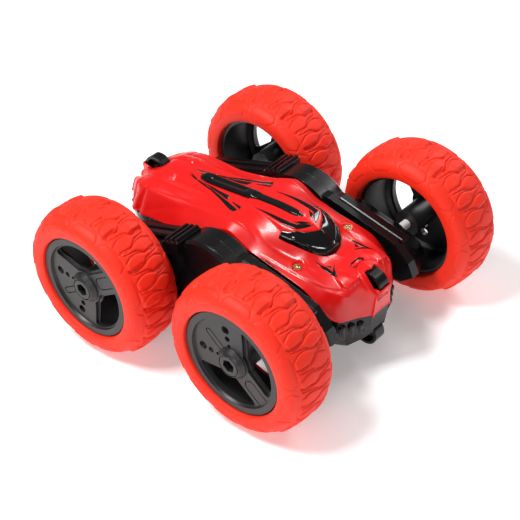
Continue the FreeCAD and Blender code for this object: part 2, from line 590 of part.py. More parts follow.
def rim(turn):
    """One-piece rim, open behind: barrel, outer ring, face with a broad sector and one spoke, hub."""
    inner = TYRE_BORE - RIM_WALL
    outer = TYRE_BORE - SEAT_FIT
    face_back = FACE_FRONT - FACE_THICKNESS
    shell = turned_y([(0, face_back), (inner - 1.5, face_back), (inner, face_back - 1.5), (inner, RIM_BACK),
                      (outer, RIM_BACK), (outer, RIM_FRONT - RIM_CHAMFER), (outer - RIM_CHAMFER, RIM_FRONT),
                      (RIM_RING_INNER + 0.5, RIM_FRONT), (RIM_RING_INNER, FACE_FRONT), (0, FACE_FRONT)])
    hub = turned_y([(0, HUB_BACK), (HUB_RADIUS, HUB_BACK), (HUB_RADIUS, FACE_FRONT - 0.5),
                    (HUB_RADIUS + 1.2, FACE_FRONT - 0.5), (HUB_RADIUS + 1.2, FACE_FRONT + 0.5),
                    (HUB_RADIUS - 0.2, HUB_FRONT - RIM_CHAMFER), (HUB_RADIUS - 0.9, HUB_FRONT), (0, HUB_FRONT)])
    wheel = joined([shell, hub])
    keep = rod_y(HUB_RADIUS + 1.3, -40, 40)
    through = window(0.0, face_back - 1, FACE_FRONT + 1)
    step = window(WINDOW_STEP, FACE_FRONT - WINDOW_STEP_DEPTH, FACE_FRONT + 1).cut(keep)
    for cutter in (through, step):
        wheel = wheel.cut(cutter).cut(cutter.mirror(Vec(0, 0, 0), Vec(0, 0, 1)))
    for side in (-1, 1):
        for distance, radius in ROW_HOLES:
            spot = polar(distance, side * ROW_ANGLE)
            wheel = wheel.cut(rod_y(radius, face_back - 1, FACE_FRONT + 1, spot.x, spot.z))
    wheel = wheel.cut(stadium_groove(TONGUE_START, TONGUE_END, TONGUE_HALF).cut(keep))
    spoke_groove = stadium_groove(-WINDOW_OUTER - 3, -SPOKE_TONGUE_START, SPOKE_TONGUE_HALF)
    wheel = wheel.cut(spoke_groove.common(rod_y(RIM_RING_INNER, -40, 40)))
    wheel = wheel.cut(tube_y(HUB_GROOVE_RADIUS + GROOVE_WIDTH / 2, HUB_GROOVE_RADIUS - GROOVE_WIDTH / 2,
                             HUB_FRONT - GROOVE_DEPTH, HUB_FRONT + 1))
    wheel = wheel.cut(hexagon(SOCKET_FLATS, HUB_FRONT - SOCKET_DEPTH, HUB_FRONT + 1))
    wheel = wheel.cut(rod_y(WHEEL_SCREW_RADIUS + SEAT_FIT, SHAFT_HEX_END, HUB_FRONT))
    wheel = wheel.cut(hexagon(SHAFT_HEX_FLATS + 2 * SEAT_FIT, SHAFT_HEX_START, SHAFT_HEX_END))
    wheel = wheel.cut(rod_y(SHAFT_RADIUS + SEAT_FIT, HUB_BACK - 1, SHAFT_HEX_START))
    wheel.rotate(Vec(0, 0, 0), Vec(0, 1, 0), -turn)
    return wheel


def tyre():
    """Closed ring with a crowned tread, rounded shoulders and slightly bulged side walls."""
    half = TYRE_WIDTH / 2
    shoulder = TYRE_RADIUS * TYRE_SHOULDER_SHARE
    edge = TYRE_RADIUS * TYRE_EDGE_SHARE
    shoulder_y = half - TYRE_SHOULDER_INSET
    bead = RIM_FRONT - 0.4
    upper = [(TYRE_BORE, 0), (TYRE_BORE, bead), (TYRE_BORE + 2.0, half - 0.7), (edge - 2.0, half),
             (edge, half - 0.3), (edge + 2.9, half - 1.4), (shoulder, shoulder_y),
             (TYRE_RADIUS - 0.9, shoulder_y * 0.62), (TYRE_RADIUS - 0.1, shoulder_y * 0.25), (TYRE_RADIUS, 0)]
    lower = [(radius, max(-y, RIM_BACK)) if radius == TYRE_BORE else (radius, -y) for radius, y in upper]
    return turned_y(upper[1:] + lower[:0:-1])


def output_gear(x, phase, turn):
    """Wheel gear moulded on its shaft, whose hexagonal end carries the rim."""
    gear = gear_blank(MODULE, OUTPUT_TEETH, phase, GEAR_Y, GEAR_WIDTH)
    shaft = rod_y(SHAFT_RADIUS, PIN_SEAT_Y + 0.2, WHEEL_Y + SHAFT_HEX_START)
    drive = hexagon(SHAFT_HEX_FLATS, SHAFT_HEX_START, SHAFT_HEX_END)
    drive.rotate(Vec(0, 0, 0), Vec(0, 1, 0), -turn)
    solid = joined([gear, shaft, moved(drive, y=WHEEL_Y)])
    screw_hole = rod_y(WHEEL_SCREW_RADIUS, WHEEL_Y + HUB_FRONT - SOCKET_DEPTH - WHEEL_SCREW_LENGTH - 0.3,
                       WHEEL_Y + SHAFT_HEX_END + 1)
    return moved(solid.cut(screw_hole), x=x)


def wheel_screw(x):
    """Screw at the bottom of the hub's socket, into the shaft's end."""
    return screw_y(WHEEL_SCREW_RADIUS, WHEEL_SCREW_HEAD, WHEEL_SCREW_HEAD_HEIGHT,
                   WHEEL_Y + HUB_FRONT - SOCKET_DEPTH, WHEEL_SCREW_LENGTH, x, 0)


# ---- body -----------------------------------------------------------------------------------------
def section_wire(station, half_outline, inset, lift):
    """Closed polygon of one body section, drawn in by an inset and lifted."""
    height_top = half_outline[0][1]
    height_bottom = half_outline[-1][1]
    right = []
    for width, height in half_outline:
        middle = (height_top + height_bottom) / 2
        half_height = (height_top - height_bottom) / 2
        squeeze = (half_height - inset) / half_height
        right.append((max(width - inset, 0.0), middle + (height - middle) * squeeze + lift))
    left = [(-width, height) for width, height in reversed(right[1:-1])]
    points = [Vec(station, width, height) for width, height in right + left]
    return Part.makePolygon(points + [points[0]])


def body_form(inset=0.0, lift=0.0):
    """Whole body form as one loft; an inset gives the inner surface of the wall."""
    wires = []
    for row in SHELL_SECTIONS:
        wires.append(section_wire(row[0], row[1:], inset, lift))
    form = Part.makeLoft(wires, True, True)
    if inset > 0:
        ends = block(SHELL_SECTIONS[0][0] + inset, SHELL_SECTIONS[-1][0] - inset, -60, 60, -60, 60)
        form = form.common(ends)
    return form


def above_seam():
    """Everything above the seam between the shells."""
    outline = list(SEAM_LINE) + [(90, 60), (-90, 60)]
    return plate_xz(outline, -60, 60)


def canopy_plan():
    """Plan of the canopy strip: wide behind, narrow in front."""
    rear, step, front = CANOPY_REAR_X, CANOPY_STEP_X, CANOPY_FRONT_X
    wide, slim = CANOPY_REAR_HALF, CANOPY_FRONT_HALF
    half = [(rear, wide * 0.4), (rear + 3, wide), (step - 2, wide), (step, slim), (front - 2, slim),
            (front, slim * 0.4)]
    return half + [(x, -y) for x, y in reversed(half)]


def visor_plan():
    """Plan of the horseshoe visor, its legs pointing to the rear."""
    outer, inner = list(VISOR_OUTLINE), list(VISOR_INNER)
    outer_other = [(x, -y) for x, y in reversed(outer[:-1])]
    inner_other = [(x, -y) for x, y in reversed(inner[1:])]
    return outer + outer_other + inner_other + inner


def trim_piece(plan, rise):
    """Thin inlay that follows the body's surface, standing out of it by a rise."""
    column = plate_xy(plan, 5, 50)
    return column.common(body_form(lift=rise)).cut(body_form(lift=-TRIM_SINK))


def trim_recess(plan):
    """Space that an inlay's lower half takes out of the shell."""
    return plate_xy(plan, 5, 50).cut(body_form(lift=-TRIM_SINK))


def roller_places():
    """Upper and lower roller at the nose and the tail: name, x, z, radius, width."""
    places = []
    for end, roller in (("nose", NOSE_ROLLER), ("tail", TAIL_ROLLER)):
        for side, sign in (("upper", 1), ("lower", -1)):
            places.append((end + "_" + side + "_roller", roller["x"], sign * roller["z"],
                           roller["radius"], roller["width"]))
    return places


def roller_slots(which):
    """Slots of the rollers in the upper or the lower shell."""
    slots = []
    for name, x, z, radius, width in roller_places():
        if which in name:
            half = width / 2 + ROLLER_CLEARANCE
            slots.append(rod_y(radius + ROLLER_CLEARANCE, -half, half, x, z))
    return slots


def roller_cheeks(which, form):
    """Cheek plates beside each roller, which hold the ends of its pin."""
    cheeks = []
    for name, x, z, radius, width in roller_places():
        if which in name:
            inner = width / 2 + ROLLER_CLEARANCE
            for y0 in (inner, -inner - CHEEK_THICKNESS):
                plate = rod_y(radius + CHEEK_MARGIN, y0, y0 + CHEEK_THICKNESS, x, z)
                cheeks.append(plate.common(form))
    return cheeks


def pin_holes(which):
    """Holes for the roller pins."""
    holes = []
    for name, x, z, radius, width in roller_places():
        if which in name:
            half = width / 2 + ROLLER_CLEARANCE + CHEEK_THICKNESS - 0.4
            holes.append(rod_y(ROLLER_PIN_RADIUS, -half, half, x, z))
    return holes


def roller(x, z, radius, width):
    """Small guide roller: rim band, thin web with holes, hub."""
    half = width / 2
    band = tube_y(radius, radius - ROLLER_RIM, -half, half)
    web = rod_y(radius - ROLLER_RIM / 2, -ROLLER_WEB / 2, ROLLER_WEB / 2)
    hub = rod_y(ROLLER_HUB, -half + 0.4, half - 0.4)
    wheel = joined([band, web, hub]).cut(rod_y(ROLLER_PIN_RADIUS + RUNNING_FIT, -half - 1, half + 1))
    return moved(wheel, x=x, z=z)


def roller_pins():
    """Steel pins of the four rollers."""
    pins = []
    for name, x, z, radius, width in roller_places():
        half = width / 2 + ROLLER_CLEARANCE + CHEEK_THICKNESS - 0.4
        pins.append(rod_y(ROLLER_PIN_RADIUS, -half, half, x, z))
    return group(pins)


def upper_shell(form, hollow):
    """Glossy upper shell with trim recesses, roller slots, nose screw seats and tail screw posts."""
    cover = form.common(above_seam())
    shell = cover.cut(hollow)
    posts = []
    for sign in (-1, 1):
        posts.append(rod_z(SCREW_POST_RADIUS, SCREW_POST_TOP_Z, TOOL_REACH, SCREW_X, sign * SCREW_Y))
        posts.append(rod_z(TAIL_POST_RADIUS, 0, TOOL_REACH, TAIL_SCREW_X, sign * TAIL_SCREW_Y))
    shell = joined([shell] + [post.common(cover) for post in posts] + roller_cheeks("upper", cover))
    for slot in roller_slots("upper") + pin_holes("upper"):
        shell = shell.cut(slot)
    shell = shell.cut(trim_recess(canopy_plan())).cut(trim_recess(visor_plan()))
    tail_hole_top = TAIL_SCREW_SEAT_Z + SHELL_SCREW_LENGTH + PILOT_SPARE
    for sign in (-1, 1):
        nose_y, tail_y = sign * SCREW_Y, sign * TAIL_SCREW_Y
        shell = shell.cut(rod_z(SHELL_SCREW_RADIUS, 0, TOOL_REACH, SCREW_X, nose_y))
        shell = shell.cut(rod_z(SHELL_SCREW_HEAD + SEAT_FIT, SCREW_SEAT_Z, TOOL_REACH, SCREW_X, nose_y))
        shell = shell.cut(rod_z(SHELL_SCREW_RADIUS, 0, tail_hole_top, TAIL_SCREW_X, tail_y))
    return shell.removeSplitter()


def lower_shell(form, hollow):
    """Black lower shell: tub with pivot sleeves, board posts, battery bay and roller slots."""
    below = body_block().cut(above_seam())
    below_board = form.common(block(-80, 80, -40, 40, -40, BOARD_Z))
    shell = form.cut(hollow).common(below)
    extras = []
    sleeve_radius = NECK_RADIUS + RUNNING_FIT + PIVOT_SLEEVE_WALL
    for sign in (-1, 1):
        y0, y1 = sorted((sign * PIVOT_SLEEVE_END, sign * PIVOT_SLEEVE_FLANK))
        extras.append(rod_y(sleeve_radius, y0, y1))
    for x in (-POST_X, POST_X):
        for y in (-POST_Y, POST_Y):
            extras.append(rod_z(POST_RADIUS, BELLY_Z, BOARD_Z, x, y).common(below_board))
    for sign in (-1, 1):
        nose_post = rod_z(SCREW_POST_RADIUS, BELLY_Z, SCREW_POST_TOP_Z, SCREW_X, sign * SCREW_Y)
        tail_post = rod_z(TAIL_POST_RADIUS, BELLY_Z, TAIL_POST_TOP_Z, TAIL_SCREW_X, sign * TAIL_SCREW_Y)
        extras.extend([nose_post.common(form), tail_post.common(form)])
    extras.append(rod_z(JACK_FLANGE, BELLY_TAIL_Z + 0.3, JACK_SEAT_Z, JACK_X, JACK_Y))
    bay_rear = HATCH_REAR - HATCH_TONGUE - PANEL_GAP - BAY_WALL
    for x0 in (bay_rear, HATCH_SCREW_X + SHELL_SCREW_RADIUS + 1.0):
        wall = block(x0, x0 + BAY_WALL, -BAY_HALF_WIDTH, BAY_HALF_WIDTH, BELLY_Z, BAY_TOP_Z)
        extras.append(wall.common(form))
    extras.append(rod_z(SCREW_POST_RADIUS, BELLY_Z, HATCH_POST_TOP_Z, HATCH_SCREW_X))
    extras.extend(roller_cheeks("lower", form.common(below)))
    shell = joined([shell] + extras)
    shell = shell.cut(rod_y(NECK_RADIUS + RUNNING_FIT, -40, 40))
    half_y = HATCH_WIDTH / 2 + PANEL_GAP
    shell = shell.cut(block(HATCH_REAR - PANEL_GAP, HATCH_FRONT + PANEL_GAP, -half_y, half_y,
                            BELLY_Z - 5, HATCH_TOP_Z))
    hatch_hole_top = BELLY_Z + SHELL_SCREW_LENGTH + 2 * PILOT_SPARE
    shell = shell.cut(rod_z(SHELL_SCREW_RADIUS, BELLY_Z, hatch_hole_top, HATCH_SCREW_X))
    for slot in roller_slots("lower") + pin_holes("lower"):
        shell = shell.cut(slot)
    nose_hole_end = SCREW_SEAT_Z - SHELL_SCREW_LENGTH - PILOT_SPARE
    for sign in (-1, 1):
        nose_y, tail_y = sign * SCREW_Y, sign * TAIL_SCREW_Y
        shell = shell.cut(rod_z(SHELL_SCREW_RADIUS, nose_hole_end, TOOL_REACH, SCREW_X, nose_y))
        shell = shell.cut(rod_z(SHELL_SCREW_RADIUS, BELLY_Z, TAIL_POST_TOP_Z + 1, TAIL_SCREW_X, tail_y))
        shell = shell.cut(rod_z(SHELL_SCREW_HEAD + SEAT_FIT, BELLY_Z, TAIL_SCREW_SEAT_Z, TAIL_SCREW_X, tail_y))
    shell = shell.cut(rod_z(JACK_RADIUS, BELLY_TAIL_Z - 3, JACK_SEAT_Z + 1, JACK_X, JACK_Y))
    shell = shell.cut(rod_z(JACK_FLANGE + SEAT_FIT, JACK_SEAT_Z, 0, JACK_X, JACK_Y))
    shell = shell.cut(switch_envelope(SEAT_FIT))
    travel = SWITCH_TRAVEL / 2 + KNOB_LENGTH / 2 + PANEL_GAP + 0.2
    side = KNOB_WIDTH / 2 + PANEL_GAP + 0.1
    shell = shell.cut(block(SWITCH_X - travel, SWITCH_X + travel, SWITCH_Y - side, SWITCH_Y + side,
                            BELLY_TAIL_Z - 3, BELLY_TAIL_Z + 4))
    return shell.removeSplitter()


HATCH_TOP_Z = BELLY_Z + SHELL_WALL


def body_block():
    """Box larger than the body."""
    return block(-90, 90, -60, 60, -60, 60)


def battery_cover():
    """Flat hatch in the belly: a tongue at the rear, a sunk screw hole at the front."""
    half_y = HATCH_WIDTH / 2
    plate = block(HATCH_REAR, HATCH_FRONT, -half_y, half_y, BELLY_Z, HATCH_TOP_Z)
    tongue = block(HATCH_REAR - HATCH_TONGUE, HATCH_REAR + 2, -half_y / 2, half_y / 2,
                   HATCH_TOP_Z, HATCH_TOP_Z + 1.0)
    cover = joined([plate, tongue]).cut(rod_z(SHELL_SCREW_RADIUS, BELLY_Z - 1, HATCH_TOP_Z + 1, HATCH_SCREW_X))
    return cover.cut(rod_z(SHELL_SCREW_HEAD + SEAT_FIT, BELLY_Z - 1, BELLY_Z + 0.8, HATCH_SCREW_X))


def battery_pack():
    """Two cells side by side in a shrink sleeve."""
    cells = []
    half = CELL_LENGTH / 2
    for y in (-CELL_RADIUS, CELL_RADIUS):
        cells.append(Part.makeCylinder(CELL_RADIUS, CELL_LENGTH, Vec(-half, y, BATTERY_Z), Vec(1, 0, 0)))
    web = block(-half, half, -CELL_RADIUS, CELL_RADIUS, BATTERY_Z - CELL_RADIUS, BATTERY_Z + CELL_RADIUS)
    return joined(cells + [web])


def circuit_board():
    """Board with its larger components, standing on four posts."""
    half_x = BOARD_LENGTH / 2
    half_y = BOARD_WIDTH / 2
    top = BOARD_Z + BOARD_THICKNESS
    board = block(-half_x, half_x, -half_y, half_y, BOARD_Z, top)
    chip = block(-6, 4, -5, 5, top - 0.1, top + 1.6)
    receiver = block(12, 22, -6, 2, top - 0.1, top + 2.0)
    drivers = [block(-24, -17, y - 2.5, y + 2.5, top - 0.1, top + 1.5) for y in (-7, 7)]
    capacitor = rod_z(2.5, top - 0.1, top + 5.0, -12, 0)
    return joined([board, chip, receiver, capacitor] + drivers)


def charging_jack():
    """Round charging jack that opens downwards in the belly's tail."""
    top = BELLY_TAIL_Z + JACK_DEPTH + JACK_FLOOR
    body = rod_z(JACK_RADIUS, BELLY_TAIL_Z + 0.2, top, JACK_X, JACK_Y)
    flange = rod_z(JACK_FLANGE, JACK_SEAT_Z, JACK_SEAT_Z + JACK_FLOOR, JACK_X, JACK_Y)
    bore = rod_z(JACK_BORE, BELLY_TAIL_Z - 1, BELLY_TAIL_Z + JACK_DEPTH, JACK_X, JACK_Y)
    return joined([body, flange]).cut(bore)


def switch_envelope(grow):
    """Outside of the slide switch, grown on its four sides."""
    half_x = SWITCH_BODY[0] / 2 + grow
    half_y = SWITCH_BODY[1] / 2 + grow
    return block(SWITCH_X - half_x, SWITCH_X + half_x, SWITCH_Y - half_y, SWITCH_Y + half_y,
                 SWITCH_FLOOR_Z, SWITCH_FLOOR_Z + SWITCH_BODY[2])


def switch_housing():
    """Slide switch housing on the belly, open below for its knob."""
    travel = SWITCH_TRAVEL / 2 + KNOB_LENGTH / 2 + 0.4
    side = KNOB_WIDTH / 2 + 0.3
    room = block(SWITCH_X - travel, SWITCH_X + travel, SWITCH_Y - side, SWITCH_Y + side,
                 SWITCH_FLOOR_Z - 1, SWITCH_FLOOR_Z + SWITCH_BODY[2] - SWITCH_WALL)
    return switch_envelope(0.0).cut(room)


def switch_knob():
    """Ribbed slide knob, drawn in its off position at the rear end of its slot."""
    x = SWITCH_X - SWITCH_TRAVEL / 2
    z0 = BELLY_TAIL_Z - 0.6
    knob = block(x - KNOB_LENGTH / 2, x + KNOB_LENGTH / 2, SWITCH_Y - KNOB_WIDTH / 2,
                 SWITCH_Y + KNOB_WIDTH / 2, z0, z0 + KNOB_HEIGHT + 2.8)
    for step in (-1, 0, 1):
        groove = block(x + step * 1.4 - 0.3, x + step * 1.4 + 0.3, SWITCH_Y - KNOB_WIDTH,
                       SWITCH_Y + KNOB_WIDTH, z0 - 1, z0 + 0.5)
        knob = knob.cut(groove)
    return knob


def cross_screw_z(x, y, seat, length, down=1):
    """Cross-headed screw along Z: its head lies on the seat, and the shank runs away from it."""
    shank = rod_z(SHELL_SCREW_RADIUS, -length, 0.0)
    head = rod_z(SHELL_SCREW_HEAD, 0.0, SHELL_SCREW_HEAD_HEIGHT)
    screw = joined([shank, head])
    for long_x, long_y in ((1.4, 0.25), (0.25, 1.4)):
        screw = screw.cut(block(-long_x, long_x, -long_y, long_y, SHELL_SCREW_HEAD_HEIGHT / 2, 3))
    if down < 0:
        screw.rotate(Vec(0, 0, 0), Vec(1, 0, 0), 180)
    return moved(screw, x, y, seat)


def shell_screws():
    """Two nose screws from above, two tail screws from below, and the battery hatch's screw."""
    screws = [cross_screw_z(HATCH_SCREW_X, 0.0, BELLY_Z + 0.8, SHELL_SCREW_LENGTH, down=-1)]
    for sign in (-1, 1):
        tail_y = sign * TAIL_SCREW_Y
        screws.append(cross_screw_z(SCREW_X, sign * SCREW_Y, SCREW_SEAT_Z, SHELL_SCREW_LENGTH))
        screws.append(cross_screw_z(TAIL_SCREW_X, tail_y, TAIL_SCREW_SEAT_Z, SHELL_SCREW_LENGTH, down=-1))
    return group(screws)


# ---- placing and saving -------------------------------------------------------------------------
def save(name, shape):
    """Write one node."""
    if not shape.isValid():
        print("not valid:", name)
    shape.exportStep("parts/" + name + ".step")


def save_body(name, shape):
    """Write a body piece, pitched nose-down about the pivot line and lifted to the axles."""
    placed = shape.copy()
    placed.rotate(Vec(0, 0, 0), Vec(0, 1, 0), BODY_PITCH)
    save(name, moved(placed, z=AXLE_HEIGHT))


def save_side(name, shape, side):
    """Write an arm or wheel piece, mirrored for the right side."""
    sided = shape if side == "left" else mirrored(shape)
    save(name, moved(sided, z=AXLE_HEIGHT))


def build_body():
    """All body pieces."""
    form = body_form()
    hollow = body_form(inset=SHELL_WALL)
    save_body("upper_shell", upper_shell(form, hollow))
    save_body("lower_shell", lower_shell(form, hollow))
    save_body("canopy", trim_piece(canopy_plan(), CANOPY_RISE))
    save_body("visor", trim_piece(visor_plan(), VISOR_RISE))
    save_body("battery_cover", battery_cover())
    save_body("battery_pack", battery_pack())
    save_body("circuit_board", circuit_board())
    save_body("charging_jack", charging_jack())
    save_body("switch_housing", switch_housing())
    save_body("switch_knob", switch_knob())
    save_body("shell_screws", shell_screws())
    save_body("roller_pins", roller_pins())
    for name, x, z, radius, width in roller_places():
        save_body(name, roller(x, z, radius, width))


def build_side(side):
    """One side arm and its gears."""
    pieces = {
        "arm_inner_case": arm_inner(),
        "arm_outer_case": arm_outer(),
        "drum_cap": drum_cap(),
        "gear_pins": gear_pins(),
        "arm_screws": arm_screws(),
        "pivot_ring": pivot_ring(),
        "motor": motor(),
        "motor_pinion": motor_pinion(),
        "reduction_gear": reduction_gear(),
        "centre_gear": centre_gear(),
        "front_idler_gear": idler_gear(IDLER_X, FRONT_IDLER_PHASE),
        "rear_idler_gear": idler_gear(-IDLER_X, REAR_IDLER_PHASE),
    }
    for name, shape in pieces.items():
        save_side(side + "_" + name, shape, side)


def build_wheel(end, side):
    """Rim, tyre, output gear and screw of one wheel."""
    turn = RIM_TURNS[end + "_" + side]
    x = AXLE_X if end == "front" else -AXLE_X
    phase = FRONT_OUTPUT_PHASE if end == "front" else REAR_OUTPUT_PHASE
    prefix = end + "_" + side + "_"
    save_side(prefix + "rim", moved(rim(turn), x=x, y=WHEEL_Y), side)
    save_side(prefix + "tyre", moved(tyre(), x=x, y=WHEEL_Y), side)
    save_side(prefix + "output_gear", output_gear(x, phase, turn), side)
    save_side(prefix + "wheel_screw", wheel_screw(x), side)


def main():
    """Build every node."""
    os.makedirs("parts", exist_ok=True)
    build_body()
    for side in ("left", "right"):
        build_side(side)
        for end in ("front", "rear"):
            build_wheel(end, side)


main()
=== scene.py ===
"""Looks of a double-sided stunt car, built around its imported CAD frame.

Lengths are millimetres unless a name says otherwise; MM turns them into metres.  Body pieces are
worked out level, in the body's own frame (u to the nose, v to the car's left, h up, all from the
pivot line between the arms), and to_row() tilts them into the row frame.
"""

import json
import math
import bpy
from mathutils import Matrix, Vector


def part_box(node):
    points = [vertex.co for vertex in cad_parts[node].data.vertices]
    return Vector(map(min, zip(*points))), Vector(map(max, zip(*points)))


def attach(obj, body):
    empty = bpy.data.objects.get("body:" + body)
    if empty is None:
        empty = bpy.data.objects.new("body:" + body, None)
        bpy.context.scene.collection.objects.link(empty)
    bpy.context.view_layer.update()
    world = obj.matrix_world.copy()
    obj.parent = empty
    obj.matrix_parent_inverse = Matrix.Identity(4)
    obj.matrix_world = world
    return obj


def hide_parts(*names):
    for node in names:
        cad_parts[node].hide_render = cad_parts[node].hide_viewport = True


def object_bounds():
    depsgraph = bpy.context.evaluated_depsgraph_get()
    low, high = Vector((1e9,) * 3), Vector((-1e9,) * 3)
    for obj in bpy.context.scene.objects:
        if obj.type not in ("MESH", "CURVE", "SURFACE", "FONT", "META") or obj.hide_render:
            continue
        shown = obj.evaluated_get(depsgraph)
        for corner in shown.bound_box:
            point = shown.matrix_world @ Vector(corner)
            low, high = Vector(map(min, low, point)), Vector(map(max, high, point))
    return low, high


bl_info = {
    "name": "Stunt car looks",
    "version": (1, 0, 0),
    "blender": (4, 5, 0),
    "location": "3D Viewport > Sidebar > Stunt Car",
    "description": "Shell, trim, tyres, arms, finishes and studio around the stunt car's frame",
    "category": "Object",
}

import bpy
import numpy as np
from bpy.props import FloatProperty, FloatVectorProperty, IntProperty, PointerProperty
from mathutils import Matrix, Vector

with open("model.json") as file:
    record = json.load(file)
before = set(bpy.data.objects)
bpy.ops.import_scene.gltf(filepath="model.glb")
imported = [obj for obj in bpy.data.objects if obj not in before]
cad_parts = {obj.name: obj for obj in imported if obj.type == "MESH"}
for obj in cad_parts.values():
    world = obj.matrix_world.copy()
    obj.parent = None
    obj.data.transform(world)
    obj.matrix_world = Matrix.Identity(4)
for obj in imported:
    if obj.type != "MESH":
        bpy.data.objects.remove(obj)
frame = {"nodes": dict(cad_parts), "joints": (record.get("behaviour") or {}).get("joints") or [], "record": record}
CAD_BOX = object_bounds()
MM = 0.001
JOINTS = {joint["name"]: joint for joint in frame["joints"]}
SLOT_OF = {part["node"]: part["material_slot"] for part in frame["record"]["subparts"]}
AXLE = np.array(JOINTS["left_arm_swing"]["pos_m"]) / MM
SLIDE = JOINTS["power_switch_slide"]["axis"]
PITCH = math.atan2(-SLIDE[2], SLIDE[0])
SIDES = {"left": 1.0, "right": -1.0}
ENDS = ("front", "rear")


def cad_box(node):
    """Lowest and highest corner of a CAD node, in millimetres."""
    low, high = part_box(node)
    return np.array(low) / MM, np.array(high) / MM


# ---- curves and fields ------------------------------------------------------------------------
def flow(x, knots, values):
    """Monotone cubic curve through knots: Hermite spans whose inner slopes are the weighted
    harmonic mean of the neighbouring chords' slopes, or nought where the chords turn."""
    knots, values = np.asarray(knots, float), np.asarray(values, float)
    span = np.diff(knots)
    chord = np.diff(values) / span
    near, far = 2 * span[1:] + span[:-1], span[1:] + 2 * span[:-1]
    steady = chord[1:] * chord[:-1] > 0
    safe = np.where(steady, chord[:-1], 1.0), np.where(steady, chord[1:], 1.0)
    slope = np.zeros_like(values)
    slope[1:-1] = np.where(steady, (near + far) / (near / safe[0] + far / safe[1]), 0.0)
    slope[0], slope[-1] = chord[0], chord[-1]
    x = np.clip(x, knots[0], knots[-1])
    k = np.clip(np.searchsorted(knots, x, side="right") - 1, 0, len(knots) - 2)
    t = (x - knots[k]) / span[k]
    start = (1 + 2 * t) * (1 - t) ** 2 * values[k] + t * (1 - t) ** 2 * span[k] * slope[k]
    end = t * t * (3 - 2 * t) * values[k + 1] + t * t * (t - 1) * span[k] * slope[k + 1]
    return start + end


def step(low, high, x):
    """Smooth step: 3t^2 - 2t^3 of x's share of the way from low to high."""
    t = np.clip((np.asarray(x, float) - low) / (high - low), 0.0, 1.0)
    return t * t * (3 - 2 * t)


def pad(distance, soft):
    """1 inside an outline, 0 outside, with a smooth step of half-width soft across its edge."""
    return 1.0 - step(-soft, soft, distance)


def crease(distance, width):
    """Bell curve exp(-(d/w)^2) across a line."""
    return np.exp(-((distance / width) ** 2))


def outline_distance(x, y, corners):
    """Signed distance to a polygon: least distance to its sides, negative where a ray from the
    point crosses an odd number of them."""
    x, y = np.broadcast_arrays(np.asarray(x, float), np.asarray(y, float))
    least = np.full(x.shape, 1e9)
    odd = np.zeros(x.shape, bool)
    corners = np.asarray(corners, float)
    for (ax, ay), (bx, by) in zip(corners, np.roll(corners, -1, axis=0)):
        ex, ey = bx - ax, by - ay
        t = np.clip(((x - ax) * ex + (y - ay) * ey) / (ex * ex + ey * ey), 0, 1)
        least = np.minimum(least, np.hypot(x - ax - t * ex, y - ay - t * ey))
        reach = ax + (y - ay) * ex / (ey if abs(ey) > 1e-9 else 1e-9)
        odd ^= ((ay > y) != (by > y)) & (x < reach)
    return np.where(odd, -least, least)


# ---- meshes -----------------------------------------------------------------------------------
def cells(rows, columns, around_rows=False, around_columns=False):
    """Corner numbers of a grid's cells, in row order; a grid may close on itself either way."""
    i = np.arange(rows if around_rows else rows - 1)[:, None]
    j = np.arange(columns if around_columns else columns - 1)[None, :]
    below, right = (i + 1) % rows, (j + 1) % columns
    quads = [i * columns + j, i * columns + right, below * columns + right, below * columns + j]
    return np.stack(np.broadcast_arrays(*quads), -1).reshape(-1, 4)


def enclosed(points, faces):
    """Volume inside closed quads: a sixth of the sum of corner triple products, two per quad."""
    a, b, c, d = (points[faces[:, k]] for k in range(4))
    halves = np.einsum("ij,ij->i", a, np.cross(b, c)) + np.einsum("ij,ij->i", a, np.cross(c, d))
    return halves.sum() / 6


def facing_out(points, faces):
    """Points and faces, with the faces turned round if they enclose a negative volume."""
    flat = points.reshape(-1, 3)
    return flat, faces if enclosed(flat, faces) > 0 else faces[:, ::-1]


def to_row(points):
    """Body-frame points tilted nose-down about the pivot line and raised to the axle height."""
    u, v, h = points[..., 0], points[..., 1], points[..., 2]
    x = u * math.cos(PITCH) + h * math.sin(PITCH)
    z = -u * math.sin(PITCH) + h * math.cos(PITCH)
    return np.stack([x + AXLE[0], v + AXLE[1], z + AXLE[2]], -1)


def add_piece(name, points, faces, finish, body, replaced=(), smooth=True):
    mesh = bpy.data.meshes.new(name)
    places = np.asarray(points, float).reshape(-1, 3) * MM
    mesh.from_pydata(places.tolist(), [], np.asarray(faces).tolist())
    mesh.polygons.foreach_set("use_smooth", np.full(len(mesh.polygons), smooth))
    mesh.update()
    mesh.materials.append(finishes()[finish])
    piece = bpy.data.objects.new(name, mesh)
    bpy.context.scene.collection.objects.link(piece)
    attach(piece, body)
    if replaced:
        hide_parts(*replaced)
    return piece


def closed_piece(name, points, faces, finish, body, replaced=()):
    """A closed surface with its faces turned outwards."""
    return add_piece(name, *facing_out(points, faces), finish, body, replaced)


def shell_piece(name, points, faces, finish, body, wall, replaced=()):
    """An open surface that faces up, given a wall inwards by a Solidify modifier."""
    piece = add_piece(name, points, faces, finish, body, replaced)
    solid = piece.modifiers.new("wall", "SOLIDIFY")
    solid.thickness = wall * MM
    solid.offset = -1.0
    return piece


# ---- finishes ---------------------------------------------------------------------------------
class Value:
    """A shader output that Python's arithmetic signs turn into Math nodes."""

    def __init__(self, sheet, socket):
        self.sheet, self.socket = sheet, socket

    def _with(self, operation, *terms):
        return self.sheet.node("ShaderNodeMath", {"operation": operation}, dict(enumerate(terms)))

    def __add__(self, other):
        return self._with("ADD", self, other)

    __radd__ = __add__

    def __mul__(self, other):
        return self._with("MULTIPLY", self, other)

    __rmul__ = __mul__

    def clamp(self):
        """Held between 0 and 1."""
        return self._with("MINIMUM", self._with("MAXIMUM", self, 0.0), 1.0)


